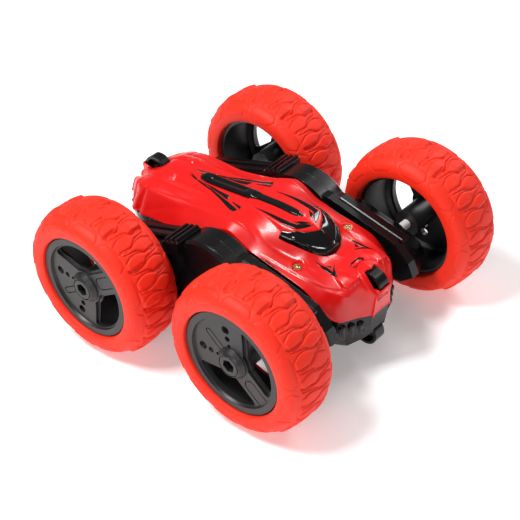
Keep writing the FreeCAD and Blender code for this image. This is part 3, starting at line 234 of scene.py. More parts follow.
class Finish:
    """One material: a Principled shader and the nodes that vary it over the surface."""

    def __init__(self, name):
        self.material = bpy.data.materials.new(name)
        self.material.use_nodes = True
        self.tree = self.material.node_tree
        self.tree.nodes.clear()
        self.place = self.node("ShaderNodeTexCoord", output="Object")

    def node(self, kind, settings=None, inputs=None, output=0):
        """Adds a node, sets it up first, then fills or links its sockets."""
        made = self.tree.nodes.new(kind)
        for key, setting in (settings or {}).items():
            if key == "stops":
                ramp = made.color_ramp
                for number, (position, colour) in enumerate(setting):
                    stop = ramp.elements[number] if number < 2 else ramp.elements.new(position)
                    stop.position, stop.color = position, colour
            else:
                setattr(made, key, setting)
        for key, value in (inputs or {}).items():
            if isinstance(value, Value):
                self.tree.links.new(value.socket, made.inputs[key])
            else:
                made.inputs[key].default_value = value
        return Value(self, made.outputs[output])

    def stretched(self, factors):
        """Object coordinates multiplied axis by axis."""
        return self.node("ShaderNodeMapping", {}, {"Vector": self.place, "Scale": factors})

    def noise(self, size, detail=3.0, place=None, rough=0.55):
        """Noise between 0 and 1 whose lumps are about size millimetres wide."""
        inputs = {"Vector": place or self.place, "Scale": 1.0 / (size * MM), "Detail": detail,
                  "Roughness": rough}
        return self.node("ShaderNodeTexNoise", {}, inputs)

    def blend(self, share, first, second):
        """Colour mix of first and second by share."""
        node = self.tree.nodes.new("ShaderNodeMix")
        node.data_type = "RGBA"
        self.tree.links.new(share.socket, node.inputs["Factor"])
        for key, value in ((6, first), (7, second)):
            if isinstance(value, Value):
                self.tree.links.new(value.socket, node.inputs[key])
            else:
                node.inputs[key].default_value = value
        return Value(self, node.outputs[2])

    def bump(self, height, depth, strength=1.0, normal=None):
        """Bump from a 0 to 1 height that stands depth millimetres high."""
        inputs = {"Height": height, "Distance": depth * MM, "Strength": strength}
        if normal is not None:
            inputs["Normal"] = normal
        return self.node("ShaderNodeBump", {}, inputs)

    def rounded(self, radius, samples=6):
        """Normals of the surface with its sharp edges rounded to a radius."""
        return self.node("ShaderNodeBevel", {"samples": samples}, {"Radius": radius * MM})

    def shade(self, **sockets):
        """Ends the tree in a Principled shader; underscores in names stand for spaces."""
        inputs = {key.replace("_", " "): value for key, value in sockets.items()}
        shader = self.node("ShaderNodeBsdfPrincipled", {}, inputs)
        out = self.tree.nodes.new("ShaderNodeOutputMaterial")
        self.tree.links.new(shader.socket, out.inputs["Surface"])
        return self.material


def scaled(colour, factor):
    """RGBA colour with its three channels multiplied."""
    return tuple(min(1.0, channel * factor) for channel in colour[:3]) + (1.0,)


def plastic(name, colour, roughness, drift=0.05, grain=0.35, depth=0.004, coat=0.0, edge=0.0,
            scuff=0.06, specular=0.5):
    """Moulded plastic: faint tone drift, fine grain, patchy gloss and hairline scuffs."""
    sheet = Finish(name)
    cloud = sheet.noise(9.0, 2.0)
    fine = sheet.noise(grain, 4.0)
    hair = sheet.noise(2.2, 6.0, sheet.stretched((1.0, 0.16, 0.6)), 0.75)
    wear = sheet.node("ShaderNodeValToRGB", {"stops": ((0.62, (0, 0, 0, 1)), (0.70, (1, 1, 1, 1)))},
                      {"Fac": hair})
    base = sheet.blend(cloud, scaled(colour, 1 - drift), scaled(colour, 1 + drift))
    rough = (cloud * scuff + fine * (scuff * 0.6) + wear * (scuff * 0.9) + (roughness - scuff * 0.8)).clamp()
    normal = sheet.rounded(edge) if edge else None
    bumped = sheet.bump(fine * 0.8 + cloud * 0.9, depth, 1.0, normal)
    return sheet.shade(Base_Color=base, Roughness=rough, Normal=bumped, Coat_Weight=coat,
                       Coat_Roughness=0.06, Specular_IOR_Level=specular)


def soft_rubber(name, colour, roughness):
    """Soft matt tyre compound: dusty high spots, tiny pores and slow tone changes."""
    sheet = Finish(name)
    cloud = sheet.noise(14.0, 3.0)
    pores = sheet.noise(0.30, 3.0)
    dust = sheet.noise(1.6, 5.0)
    base = sheet.blend(cloud, scaled(colour, 0.94), scaled(colour, 1.05))
    pale = sheet.blend((dust * 0.10).clamp(), base, scaled(colour, 1.25))
    rough = (dust * 0.12 + pores * 0.06 + (roughness - 0.09)).clamp()
    return sheet.shade(Base_Color=pale, Roughness=rough, Normal=sheet.bump(pores + dust * 0.5, 0.010),
                       Specular_IOR_Level=0.35)


def metal(name, colour, roughness, stretch):
    """Drawn or turned metal: fine lines one way and a faint tarnish."""
    sheet = Finish(name)
    lines = sheet.noise(0.5, 4.0, sheet.stretched(stretch))
    tarnish = sheet.noise(2.5, 3.0)
    base = sheet.blend(tarnish, scaled(colour, 0.86), scaled(colour, 1.06))
    rough = (lines * 0.14 + tarnish * 0.08 + (roughness - 0.1)).clamp()
    return sheet.shade(Base_Color=base, Roughness=rough, Metallic=1.0,
                       Normal=sheet.bump(lines, 0.006, 1.0, sheet.rounded(0.12, 4)))


def circuit_green(name, colour):
    """Solder resist: tracks show as slightly lighter green bands."""
    sheet = Finish(name)
    tracks = sheet.noise(2.6, 0.0, sheet.stretched((1.0, 3.0, 1.0)))
    share = sheet.node("ShaderNodeValToRGB", {"stops": ((0.50, (0, 0, 0, 1)), (0.53, (1, 1, 1, 1)))},
                       {"Fac": tracks})
    base = sheet.blend(share, scaled(colour, 0.8), scaled(colour, 1.5))
    return sheet.shade(Base_Color=base, Roughness=sheet.noise(1.0) * 0.15 + 0.28,
                       Normal=sheet.bump(share, 0.03))


_made = {}


def finishes():
    """All finishes by the record's slot names, made on first use from the panel's colours."""
    if not _made:
        tone = bpy.context.scene.stunt_car_colours
        red, tyre, black = tuple(tone.shell), tuple(tone.tyre), tuple(tone.black)
        _made["red_shell"] = plastic("red_shell", red, tone.shell_roughness, drift=0.035, grain=0.5,
                                     coat=0.15, scuff=0.08)
        _made["black_shell"] = plastic("black_shell", black, 0.24, drift=0.2, grain=0.5, depth=0.005,
                                       edge=0.35, scuff=0.1, specular=0.34)
        _made["black_arm"] = plastic("black_arm", black, 0.22, drift=0.2, grain=0.6, depth=0.005,
                                     edge=0.35, scuff=0.1, specular=0.34)
        _made["black_trim"] = plastic("black_trim", scaled(black, 0.8), 0.12, drift=0.2, grain=0.8,
                                      depth=0.002, coat=0.2, edge=0.2, scuff=0.05, specular=0.36)
        _made["rim_plastic"] = plastic("rim_plastic", tuple(tone.rim), 0.40, drift=0.12, depth=0.012,
                                       edge=0.25, scuff=0.12)
        _made["tyre_rubber"] = soft_rubber("tyre_rubber", tyre, 0.58)
        _made["gear_plastic"] = plastic("gear_plastic", (0.80, 0.80, 0.75), 0.42, drift=0.04, grain=0.4,
                                        depth=0.008, edge=0.15)
        _made["steel"] = metal("steel", (0.10, 0.10, 0.105), 0.34, (1.0, 0.1, 1.0))
        _made["brass_screw"] = metal("brass_screw", (0.86, 0.62, 0.34), 0.24, (1.0, 1.0, 0.1))
        _made["motor_steel"] = metal("motor_steel", (0.52, 0.53, 0.55), 0.34, (1.0, 0.1, 1.0))
        _made["board"] = circuit_green("board", (0.012, 0.16, 0.05))
        _made["battery_sleeve"] = plastic("battery_sleeve", (0.03, 0.14, 0.50), 0.22, drift=0.1,
                                          grain=0.6, depth=0.02, coat=0.2)
        _made["jack_plastic"] = plastic("jack_plastic", (0.03, 0.03, 0.032), 0.45, drift=0.1,
                                        depth=0.01, edge=0.15)
    return _made


# ---- the body's form ----------------------------------------------------------------------------
# Each row: station u, then (half-width, height) of the ridge lines from the middle outwards:
# middle, crest of the cabin hump, foot of the hump, shoulder.
BODY_ROWS = (
    (-71.0, (0, 9.6), (4, 9.6), (11, 8), (13.6, 2.6)),
    (-65.0, (0, 13.6), (8, 13.5), (17, 11.2), (20.6, 3.2)),
    (-58.0, (0, 17.9), (8, 17.5), (19, 14), (24.6, 3.4)),
    (-53.5, (0, 18.8), (8.5, 18.2), (19, 15), (24.9, 4.4)),
    (-38.5, (0, 20.5), (9, 19.8), (18.6, 16.6), (24.9, 6.9)),
    (-30.0, (0, 21.3), (9, 21), (18, 17.6), (24.7, 9.2)),
    (-12.0, (0, 24.3), (10, 24.0), (18.6, 22.4), (24.5, 17.3)),
    (0.0, (0, 26.3), (10, 26.3), (20, 25.4), (24.3, 23.3)),
    (13.0, (0, 28), (9.5, 27.6), (18.6, 22.6), (24.1, 18.9)),
    (25.0, (0, 28.4), (9.5, 27.7), (16, 20.2), (24.1, 17.7)),
    (33.6, (0, 26.3), (9.0, 23.6), (15.5, 19.6), (24.3, 16.9)),
    (43.0, (0, 18.0), (10, 19.2), (18, 18), (24.5, 15.7)),
    (52.0, (0, 20.0), (11, 19.2), (19, 16), (23.9, 10.6)),
    (60.5, (0, 21), (10, 18.6), (16.5, 14.6), (19.4, 2.2)),
    (65.0, (0, 17.4), (7, 15), (10.5, 9), (11.4, 2.2)),
    (68.3, (0, 12.7), (4.8, 11.5), (5.5, 8), (6, 2.0)),
)
STATIONS = np.array([row[0] for row in BODY_ROWS])
RIDGES = np.array([row[1:] for row in BODY_ROWS], float)
SEAM = ((-71, -60, -40, -21, -13, 13, 20, 41, 51, 57, 61, 68.3),
        (3.2, 3.2, 6.1, 11.4, 17.1, 18.4, 18.1, 15.6, 10.6, 5.1, 1.6, 1.6))
PLATE = ((-6.3, -1), (-6.3, 3.0), (-4.8, 7.0), (4, 8.9), (14, 10.2), (21.4, 11.2), (24.8, 10.2), (28.8, 6.8),
         (33.0, 0.0), (33.0, -1))
FINGERS = (((-71, -60, -50, -38, -24), (3.4, 4.4, 5.4, 6.0, 6.4)),
           ((-71, -60, -50, -38, -24), (8.2, 10.8, 12.2, 11.8, 10.6)),
           ((-71, -64.5, -60, -50, -38, -26), (15.4, 20.0, 19.4, 18.0, 16.2, 13.4)),
           ((-71, -57.5, -50, -42, -26), (27.0, 25.0, 23.4, 21.4, 18.6)),
           ((-71, -60, -50, -38, -24), (31.0, 30.0, 29.5, 28.0, 27.0)))
SCALLOPS = ((-64.6, 1.5), (-57.4, 1.5))
LOBES = ((-61.0, 0.7), (-67.6, 0.7), (-54.0, 0.5))
SCALLOP_WIDTH, LOBE_WIDTH = 1.1, 2.2
CANOPY = ((-38.4, -37.6, -36.0, -33.0, -6.5, -4.5, -2.0, 17.0, 21.0, 22.8),
          (0.6, 2.0, 2.9, 3.4, 3.4, 3.3, 2.6, 2.5, 1.7, 0.9))
# Deck details: how far each stands over the plain deck, or is sunk into it.
PLATE_RISE, POD_RISE, HOOD_RISE, CHEVRON_RISE = 0.75, 1.5, 1.0, 0.7
OVAL_SINK, SCREW_SINK, EDGE_SINK = 0.55, 1.1, 0.45
OVAL = {"u": 54.0, "v": 2.3, "well": 1.25, "outer": 1.55, "inner": 1.15}
OVAL_LIFT = 0.3
DECK_SCREW = {"u": 35.0, "v": 17.9, "seat": 2.35, "rim": 3.1}
POD = ((50.0, 8.6), (60.4, 7.0), (61.6, 8.2), (60.4, 13.4), (57.5, 14.6), (50.0, 12.6))
NOSE_HOOD = ((55.6, -1), (55.6, 1.5), (56.8, 4.8), (59.5, 6.4), (66, 6.2), (70, 5.6), (70, -1))
CHEVRON = ((-53.4, 6.4), (-50.2, 5.6), (-47.4, 9.4), (-51.0, 10.0))
VISOR_OUTER = ((20.6, 13.8), (26.0, 13.2), (30.2, 12.2), (35.8, 10.4), (39.0, 8.0), (41.2, 4.6), (42.0, 0.0))
VISOR_INNER = ((20.6, 11.2), (24.8, 10.2), (27.0, 8.4), (28.8, 6.6), (30.6, 3.9), (31.8, 2.0), (33.0, 0.0))


def ridge_lines(u):
    """Half-widths and heights of the four ridge lines at stations u, each a monotone cubic."""
    halves = [flow(u, STATIONS, RIDGES[:, k, 0]) for k in range(4)]
    bite = sum(depth * crease(u - place, SCALLOP_WIDTH) for place, depth in SCALLOPS)
    lobe = sum(swell * crease(u - place, LOBE_WIDTH) for place, swell in LOBES)
    halves[3] = halves[3] - bite + lobe
    halves[2] = halves[2] - 0.5 * bite
    return halves, [flow(u, STATIONS, RIDGES[:, k, 1]) for k in range(4)]


def plain_height(u, v):
    """Deck height with straight spans between the ridge lines."""
    halves, heights = ridge_lines(u)
    v = np.abs(v)
    out = heights[0]
    for k in range(3):
        share = np.maximum((v - halves[k]) / (halves[k + 1] - halves[k]), 0)
        share = np.minimum(share, 1) if k < 2 else np.minimum(share, 1.15)
        out = np.where(v > halves[k], heights[k] + share * (heights[k + 1] - heights[k]), out)
    return out


def smooth_height(u, v, reach=0.5):
    """Mean of the plain height over five points across the body, which rounds the ridge lines."""
    return sum(plain_height(u, np.abs(v) + shift * reach) for shift in (-1, -0.5, 0, 0.5, 1)) / 5


def finger_share(u, v):
    """Bulge of the tail's finger-like lobes: 1 - (2s - 1)^2 between neighbouring valley lines."""
    v = np.abs(v)
    lines = [flow(u, *finger) for finger in FINGERS]
    bulge = np.zeros(np.broadcast(u, v).shape)
    for low, high in zip(lines[:-1], lines[1:]):
        share = np.clip((v - low) / (high - low), 0, 1)
        bulge = np.where((v >= low) & (v < high), 1 - (2 * share - 1) ** 2, bulge)
    return bulge


def relief(u, v):
    """Height of the deck's sculpted details over its plain form, the same on both sides."""
    side = np.abs(v)
    rear = 1.25 * (1 - step(-70, -54, u)) + 0.45 * (1 - step(-46, -24, u))
    out = (finger_share(u, v) ** 0.35 - 0.62) * rear * step(3.6, 5.0, side)
    out = out + PLATE_RISE * pad(outline_distance(u, side, PLATE), 0.3)
    half = flow(u, *CANOPY)
    collar = pad(np.hypot(np.maximum(np.maximum(-37 - u, u - 21), 0), side) - half - 1.3, 0.3)
    out = out + 0.45 * collar * (1 - step(-8, -5, u)) + 0.2 * collar * step(-8, -5, u)
    out = out + POD_RISE * pad(outline_distance(u, side, POD), 0.28) * step(49, 58, u)
    out = out + HOOD_RISE * pad(outline_distance(u, side, NOSE_HOOD), 0.55)
    out = out + CHEVRON_RISE * pad(outline_distance(u, side, CHEVRON), 0.3)
    oval = np.hypot(u - OVAL["u"], np.maximum(side - OVAL["v"], 0)) - OVAL["well"]
    out = out - OVAL_SINK * pad(oval, 0.22) + 0.25 * crease(oval - 0.45, 0.3)
    screw = np.hypot(u - DECK_SCREW["u"], side - DECK_SCREW["v"])
    out = out + 0.22 * crease(screw - DECK_SCREW["rim"], 0.5)
    out = out - SCREW_SINK * pad(screw - DECK_SCREW["seat"], 0.22)
    edge = flow(u, (14, 24, 38, 50, 57, 61), (23.0, 22.0, 21.2, 18.6, 15.6, 13.2))
    out = out - EDGE_SINK * step(0, 0.5, side - edge) * step(16, 24, u) * (1 - step(56, 60, u))
    valley = flow(u, (8, 16, 26, 38, 48), (15.5, 17.2, 17.0, 15.0, 13.6))
    out = out - 0.2 * crease(side - valley, 1.1) * step(6, 14, u) * (1 - step(40, 50, u))
    fender = flow(u, (-20, -8, 0, 8, 16), (21.5, 19.4, 18.2, 18.6, 20.4))
    out = out + 0.3 * step(0, 1.2, side - fender) * step(-16, -7, u) * (1 - step(9, 15, u))
    swirl = flow(u, (-46, -34, -22, -8), (15.8, 17.2, 17.4, 14.0))
    return out + 0.35 * crease(side - swirl, 0.7) * step(-48, -36, u) * (1 - step(-20, -8, u))


def deck_height(u, v):
    """Height of the red deck at plan points (u, v)."""
    return smooth_height(u, v) + relief(u, v)


def roller_of(node):
    """Centre (u, h), radius and half-width of a guide roller, from its CAD box."""
    low, high = cad_box(node)
    x, z = (low[0] + high[0]) / 2 - AXLE[0], (low[2] + high[2]) / 2 - AXLE[2]
    u = x * math.cos(PITCH) - z * math.sin(PITCH)
    h = x * math.sin(PITCH) + z * math.cos(PITCH)
    return u, h, (high[0] - low[0]) / 2, (high[1] - low[1]) / 2


ROLLER_GAP = 0.9
SLOT_COLUMNS = 8
LIP_COLUMNS = 5
LIP_FLARE = 0.28
LOBE_PUSH, PUSH_FADE = 3.2, 5.0
END_ROUND = 0.9
END_TURN = (0.35, 0.75, 1.15, math.pi / 2)
END_ROWS = 8


def red_shell_grid(rows, columns):
    """Upper shell as a grid: stations along u by columns from the left seam over to the right.

    Between the ends a point is (u + w, v, deck height); w pushes the finger lobes rearwards at the
    tail.  The last columns turn down to the seam, and the end rows close the nose and the tail."""
    u = np.linspace(STATIONS[0], STATIONS[-1], rows)
    half = ridge_lines(u)[0][3]
    slot = flow(u, (-60, 50), (roller_of("tail_upper_roller")[3] + ROLLER_GAP,
                               roller_of("nose_upper_roller")[3] + ROLLER_GAP))
    inner, outer = SLOT_COLUMNS, columns - SLOT_COLUMNS
    ramp = np.linspace(0, 1, outer + 1)[1:]
    across = np.concatenate([np.linspace(0, 1, inner + 1)[None, :] * slot[:, None],
                             slot[:, None] + (half - slot)[:, None] * (ramp[None, :] ** 0.92)], 1)
    height = deck_height(u[:, None], across)
    seam = flow(u, *SEAM)
    lip = np.linspace(0, 1, LIP_COLUMNS + 1)[1:]
    drop = np.maximum(height[:, -1] - seam, 0.3)
    lip_v = half[:, None] + LIP_FLARE * np.sin(lip * math.pi / 2)[None, :]
    lip_h = height[:, -1:] - drop[:, None] * (lip ** 1.3)[None, :]
    v = np.concatenate([across, lip_v], 1)
    h = np.concatenate([height, lip_h], 1)
    fade = np.exp(-(u[:, None] - u[0]) / PUSH_FADE)
    push = LOBE_PUSH * (finger_share(u[:, None], v) ** 0.5 - 0.75) * fade * (v > 3.5)
    grid = np.stack([np.broadcast_to(u[:, None], v.shape) - push, v, h], -1)
    for end, sign in ((0, -1), (-1, 1)):
        base, floor = grid[end], seam[end]
        extra = []
        for angle in END_TURN:
            row = base.copy()
            row[:, 0] += sign * END_ROUND * math.sin(angle)
            row[:, 2] = np.maximum(base[:, 2] - END_ROUND * (1 - math.cos(angle)), floor)
            extra.append(row)
        edge = extra[-1]
        for share in np.linspace(0, 1, END_ROWS + 1)[1:]:
            row = edge.copy()
            row[:, 2] = floor + (edge[:, 2] - floor) * (1 - share)
            extra.append(row)
        block = np.stack(extra)
        grid = np.concatenate([block[::-1], grid]) if end == 0 else np.concatenate([grid, block])
    left = grid[:, :0:-1]
    right = grid * np.array([1, -1, 1])
    return np.concatenate([left, right], 1), inner


def slot_mask(points, node, half_columns, inner):
    """Cells of the shell whose middles lie in a roller's slot."""
    u, h, radius, _ = roller_of(node)
    middle = (points[:-1, :-1] + points[1:, 1:]) / 2
    near = np.hypot(middle[..., 0] - u, middle[..., 2] - h) < radius + ROLLER_GAP
    column = np.arange(middle.shape[1])[None, :]
    inside = (column >= half_columns - inner) & (column < half_columns + inner)
    return near & inside


WELL_MOUTH = 2.2
WELL_SHOULDER = 0.6
WELL_OVERLAP = 0.15
WELL_STEPS = 40
WELL_WALL = 0.5


def roller_well(name, node, finish):
    """Pocket round a roller: side walls and an arched roof.  A profile point (r, w) goes to
    (u + r cos a, w, h + r sin a) for each angle a of the half turn, and a little past its ends."""
    u, h, radius, half = roller_of(node)
    reach, wide = radius + ROLLER_GAP, half + ROLLER_GAP
    sign = 1.0 if h > 0 else -1.0
    turn = math.pi + np.linspace(-WELL_OVERLAP, math.pi + WELL_OVERLAP, WELL_STEPS)[:, None]
    radii = np.array([WELL_MOUTH, reach * WELL_SHOULDER, reach, reach, reach, reach * WELL_SHOULDER,
                      WELL_MOUTH])
    widths = np.array([wide, wide, wide, 0.0, -wide, -wide, -wide])
    corners = u + radii * np.cos(turn), widths, h + sign * radii * np.sin(turn)
    grid = np.stack(np.broadcast_arrays(*corners), -1)
    piece = add_piece(name, to_row(grid), cells(*grid.shape[:2]), finish, "chassis")
    wall = piece.modifiers.new("wall", "SOLIDIFY")
    wall.thickness, wall.offset = WELL_WALL * MM, 1.0 if sign > 0 else -1.0
    return piece


# ---- tyres --------------------------------------------------------------------------------------
TREAD_REPEATS = 12
TYRE_CROWN = 38.0
GROOVE = 0.72
LEDGE = 1.1
TREAD_SWELL = 0.5
BORE_CLEARANCE = 0.12
BORE_COLUMNS = 6
LEAF = ((-2.2, 9.2), (2.2, 9.2), (3.6, 5.4), (3.2, 2.2), (1.2, -1.4), (1.0, -8.6), (-1.0, -8.6), (-1.2, -1.4),
        (-3.2, 2.2), (-3.6, 5.4))
LEAF_LEAN = 0.006
LEDGE_SHIFT = 0.13
SHOULDER_SINK = 0.4
# Outer half-section: arc length from the crown, then radius and width as shares of the tyre's.
TYRE_SECTION = ((0.0, 1.0, 0.0), (2.8, 0.9975, 0.193), (7.0, 0.982, 0.482), (10.2, 0.957, 0.690),
                (12.6, 0.922, 0.850), (14.9, 0.872, 0.951), (17.6, 0.803, 0.997),
                (20.0, 0.744, 0.985), (22.4, 0.700, 0.930), (23.8, 0.688, 0.868))
SHIELD = ((-6.4, 10.2), (6.4, 10.2), (8.8, 13.2), (5.2, 17.4), (-5.2, 17.4), (-8.8, 13.2))


def tyre_profile(radius, bore, half, samples):
    """Outer half-section as (radius, width): a cubic through crown, shoulder and side wall."""
    knots, radii, widths = np.array(TYRE_SECTION).T
    radii, widths = radii * radius, widths * half
    radii[-1] = bore
    s = np.linspace(0, knots[-1], samples)
    return s, flow(s, knots, radii), flow(s, knots, widths)


def tread(arc, s):
    """Outward relief at arc length round the tyre and arc length s from the crown's middle.

    Each repeat has two leaves of either hand, half a pitch apart, the second hand a quarter pitch
    on; a shield on each shoulder; and a ledge that falls from 1/2 to -1/2 of LEDGE over a pitch.
    A leaf or shield is outlined by a groove exp(-(d/w)^2) of its outline's distance d."""
    pitch = 2 * math.pi * TYRE_CROWN / TREAD_REPEATS
    near = np.abs(s)
    out = np.zeros(np.broadcast(arc, s).shape)
    for hand in (1, -1):
        for slip in (0.0, 0.5):
            shift = slip + (0.25 if hand < 0 else 0.0)
            x = (np.mod(arc / pitch - shift + LEAF_LEAN * s * hand, 1.0) - 0.5) * pitch
            distance = outline_distance(x, s * hand, LEAF)
            out = out - GROOVE * crease(distance, 0.36) + 0.12 * pad(distance, 0.3)
    x = (np.mod(arc / pitch - 0.12, 1.0) - 0.5) * pitch
    shield = outline_distance(x, near, SHIELD)
    out = out - 0.32 * crease(shield, 0.34) + 0.22 * pad(shield, 0.5)
    saw = np.mod(arc / pitch + LEDGE_SHIFT * np.sign(s), 1.0)
    ledge = (1 - saw) * step(0.0, 0.05, saw)
    band = step(1.0, 4.0, near) * (1 - step(9.4, 10.0, near))
    shoulder = step(9.4, 9.9, near) * (1 - step(11, 16, near))
    return out + LEDGE * (ledge - 0.5) * band - SHOULDER_SINK * shoulder


def tyre_grid(node, around, across):
    """Tyre ring: the profile turned about the axle, pushed outwards by the tread's relief."""
    low, high = cad_box(node)
    centre = (low + high) / 2
    radius, half = (high[0] - low[0]) / 2 - TREAD_SWELL, (high[1] - low[1]) / 2
    rim_low, rim_high = cad_box(node.replace("tyre", "rim"))
    bore = (rim_high[0] - rim_low[0]) / 2 + BORE_CLEARANCE
    s, r, w = tyre_profile(radius, bore, half, across)
    s = np.concatenate([-s[:0:-1], s])
    r = np.concatenate([r[:0:-1], r])
    w = np.concatenate([-w[:0:-1], w])
    dr, dw = np.gradient(r), np.gradient(w)
    length = np.hypot(dr, dw)
    normal_r, normal_w = np.abs(dw) / length, -dr / length * np.sign(dw + 1e-12)
    turn = np.linspace(0, 2 * math.pi, around, endpoint=False)[:, None]
    lift = tread(turn * TYRE_CROWN, s[None, :]) * (1 - step(20.5, 22.0, np.abs(s)))[None, :]
    lift = np.minimum(lift, TREAD_SWELL)
    radial = r[None, :] + lift * normal_r[None, :]
    wide = w[None, :] + lift * normal_w[None, :]
    wide = np.clip(wide, -half, half)
    bore_w = np.linspace(w[-1], w[0], BORE_COLUMNS + 2)[1:-1]
    radial = np.concatenate([radial, np.full((around, BORE_COLUMNS), bore)], 1)
    wide = np.concatenate([wide, np.broadcast_to(bore_w, (around, BORE_COLUMNS))], 1)
    x, z = centre[0] + radial * np.cos(turn), centre[2] + radial * np.sin(turn)
    return np.stack([x, centre[1] + wide, z], -1)


# ---- strips laid on the deck --------------------------------------------------------------------
def between(first, second, along, across):
    """Plan points of the band between two polylines, by share of length along and across."""
    def walk(line):
        line = np.asarray(line, float)
        reach = np.concatenate([[0], np.cumsum(np.hypot(*np.diff(line, axis=0).T))])
        t = np.linspace(0, reach[-1], along)
        return np.stack([np.interp(t, reach, line[:, 0]), np.interp(t, reach, line[:, 1])], -1)
    a, b = walk(first), walk(second)
    f = np.linspace(0, 1, across)[None, :, None]
    return a[:, None] * (1 - f) + b[:, None] * f


# Decals: pairs of polylines in plan (u, v), drawn on the left and mirrored.
DECALS = (
    (((-44, 2.6), (-35.4, 4.1), (-27.7, 5.3), (-22.5, 6.9), (-13.7, 9.5), (-5.2, 12.3)),
     ((-44, 2.65), (-35.4, 4.6), (-26.9, 6.5), (-17.4, 10.1), (-6.6, 14.4))),
    (((-33.5, 4.1), (-28.5, 4.4), (-21.1, 5.0), (-15.8, 5.6)),
     ((-33.5, 4.15), (-28, 5.0), (-22.9, 6.3), (-14.4, 8.6))),
    (((-12, 8.4), (-4.9, 9.9)), ((-11.6, 8.8), (-4.5, 11.6))),
    (((-44.5, 1.2), (-40.6, 2.4), (-37.4, 3.6)), ((-44.5, 1.25), (-41.6, 2.9), (-38.0, 4.2))),
    (((1.0, 7.6), (11.1, 7.3), (18.5, 6.8), (24.0, 6.1), (26.4, 3.2), (29.4, 0.8)),
     ((1.0, 7.65), (12.7, 8.9), (19.9, 9.2), (26.1, 8.1), (28.1, 4.6), (29.5, 0.9))),
    (((21.6, 5.6), (24.5, 2.9), (28.2, 0.9)), ((21.6, 5.65), (24.9, 4.7), (28.2, 0.95))),
    (((39.4, 11.2), (46, 10.7), (50.8, 11.4)), ((39.4, 11.25), (46, 12.4), (53.2, 12.7))),
    (((46.6, 6.6), (49.6, 9.9), (53.2, 12.6)), ((46.6, 6.65), (48.9, 10.6), (52.2, 12.6))),
    (((46.4, 8.6), (47.6, 9.9)), ((46.3, 8.8), (44.6, 10.2))),
)

def oval_ring():
    """Outline of the nose slot: two stadium loops about the same middle line."""
    turn = np.linspace(0, 2 * math.pi, 49)
    middle = np.sign(np.round(np.sin(turn), 6)) * OVAL["v"]
    return [np.stack([OVAL["u"] + r * np.cos(turn), middle + r * np.sin(turn)], -1)
            for r in (OVAL["outer"], OVAL["inner"])]


DECAL_ROWS, DECAL_COLUMNS = 26, 7
DECAL_THICKNESS = 0.25


def decal_sheet(first, second, side, lift=0.12):
    """One decal as a thin closed sheet that follows the deck, lifted a little over it."""
    plan = between(first, second, DECAL_ROWS, DECAL_COLUMNS)
    u, v = plan[..., 0], plan[..., 1] * side
    top = np.stack([u, v, deck_height(u, v) + lift], -1)
    under = top - np.array([0, 0, DECAL_THICKNESS])
    grid = np.concatenate([top, under[:, ::-1]], 1)
    rows, columns = grid.shape[:2]
    faces = cells(rows, columns, around_columns=True)
    caps = []
    half = columns // 2
    for row in (0, rows - 1):
        j = np.arange(half - 1)
        a, b = row * columns + j, row * columns + j + 1
        c, d = row * columns + columns - 2 - j, row * columns + columns - 1 - j
        caps.append(np.stack([a, b, c, d] if row else [d, c, b, a], -1))
    return grid.reshape(-1, 3), np.concatenate([faces] + caps)


def merged(parts):
    """Joins several (points, faces) pairs into one."""
    points, faces, offset = [], [], 0
    for some_points, some_faces in parts:
        points.append(some_points)
        faces.append(some_faces + offset)
        offset += len(some_points)
    return np.concatenate(points), np.concatenate(faces)


def cushion_sheet(plan_u, plan_v, top, sink):
    """Closed inlay: an upper surface over a plan grid, and an under side that mirrors its rim."""
    upper = np.stack([plan_u, plan_v, top], -1)
    lower = np.stack([plan_u, plan_v, sink], -1)
    rows, columns = upper.shape[:2]
    faces_up = cells(rows, columns)
    faces_down = faces_up[:, ::-1] + rows * columns
    loop = np.concatenate([np.arange(columns), np.arange(1, rows) * columns + columns - 1,
                           (rows - 1) * columns + np.arange(columns - 2, -1, -1),
                           np.arange(rows - 2, 0, -1) * columns])
    after = np.roll(loop, -1)
    wall = np.stack([loop, loop + rows * columns, after + rows * columns, after], -1)
    points = np.concatenate([upper.reshape(-1, 3), lower.reshape(-1, 3)])
    return points, np.concatenate([faces_up, faces_down, wall])


CANOPY_ROWS, CANOPY_COLUMNS = 150, 31
CANOPY_RISE_REAR, CANOPY_RISE_FRONT = 2.1, 1.5
CANOPY_DISH, CANOPY_STEP = 0.75, 0.35
VISOR_ROWS, VISOR_COLUMNS = 141, 33
VISOR_DOME, VISOR_ROLL, VISOR_CREASE, VISOR_SCOOP = 1.5, 0.9, 0.45, 0.8


def canopy_sheet():
    """Roof strip: width from the canopy line, a rounded section 1 - |f|^5, a long dish behind the
    step and a flat with chamfers ahead of it."""
    low, high = CANOPY[0][0], CANOPY[0][-1]
    u = np.linspace(low, high, CANOPY_ROWS)[:, None]
    f = np.linspace(-1, 1, CANOPY_COLUMNS)[None, :]
    half = flow(u, *CANOPY)
    v = f * half
    u = np.broadcast_to(u, v.shape)
    ends = np.minimum(step(low - 0.4, low + 3.0, u), 1 - step(high - 3.0, high + 0.6, u) * 0.9)
    rear = 1 - step(-6.6, -5.0, u)
    tall = (CANOPY_RISE_REAR * rear + CANOPY_RISE_FRONT * (1 - rear)) * (0.45 + 0.55 * ends)
    dish = crease(f, 0.45) * step(-33, -30, u) * (1 - step(-12, -9, u)) * CANOPY_DISH
    ridge = crease(np.abs(f) - 0.62, 0.10) * 0.12 * (1 - rear)
    top = smooth_height(u, v, 0.3) + tall * (1 - np.abs(f) ** 5) ** 0.8 - dish * rear + ridge + 0.15
    top = top + CANOPY_STEP * crease(u + 5.6, 0.7) * (1 - np.abs(f) ** 4)
    return cushion_sheet(u, v, top, smooth_height(u, v, 0.3) - 0.4)


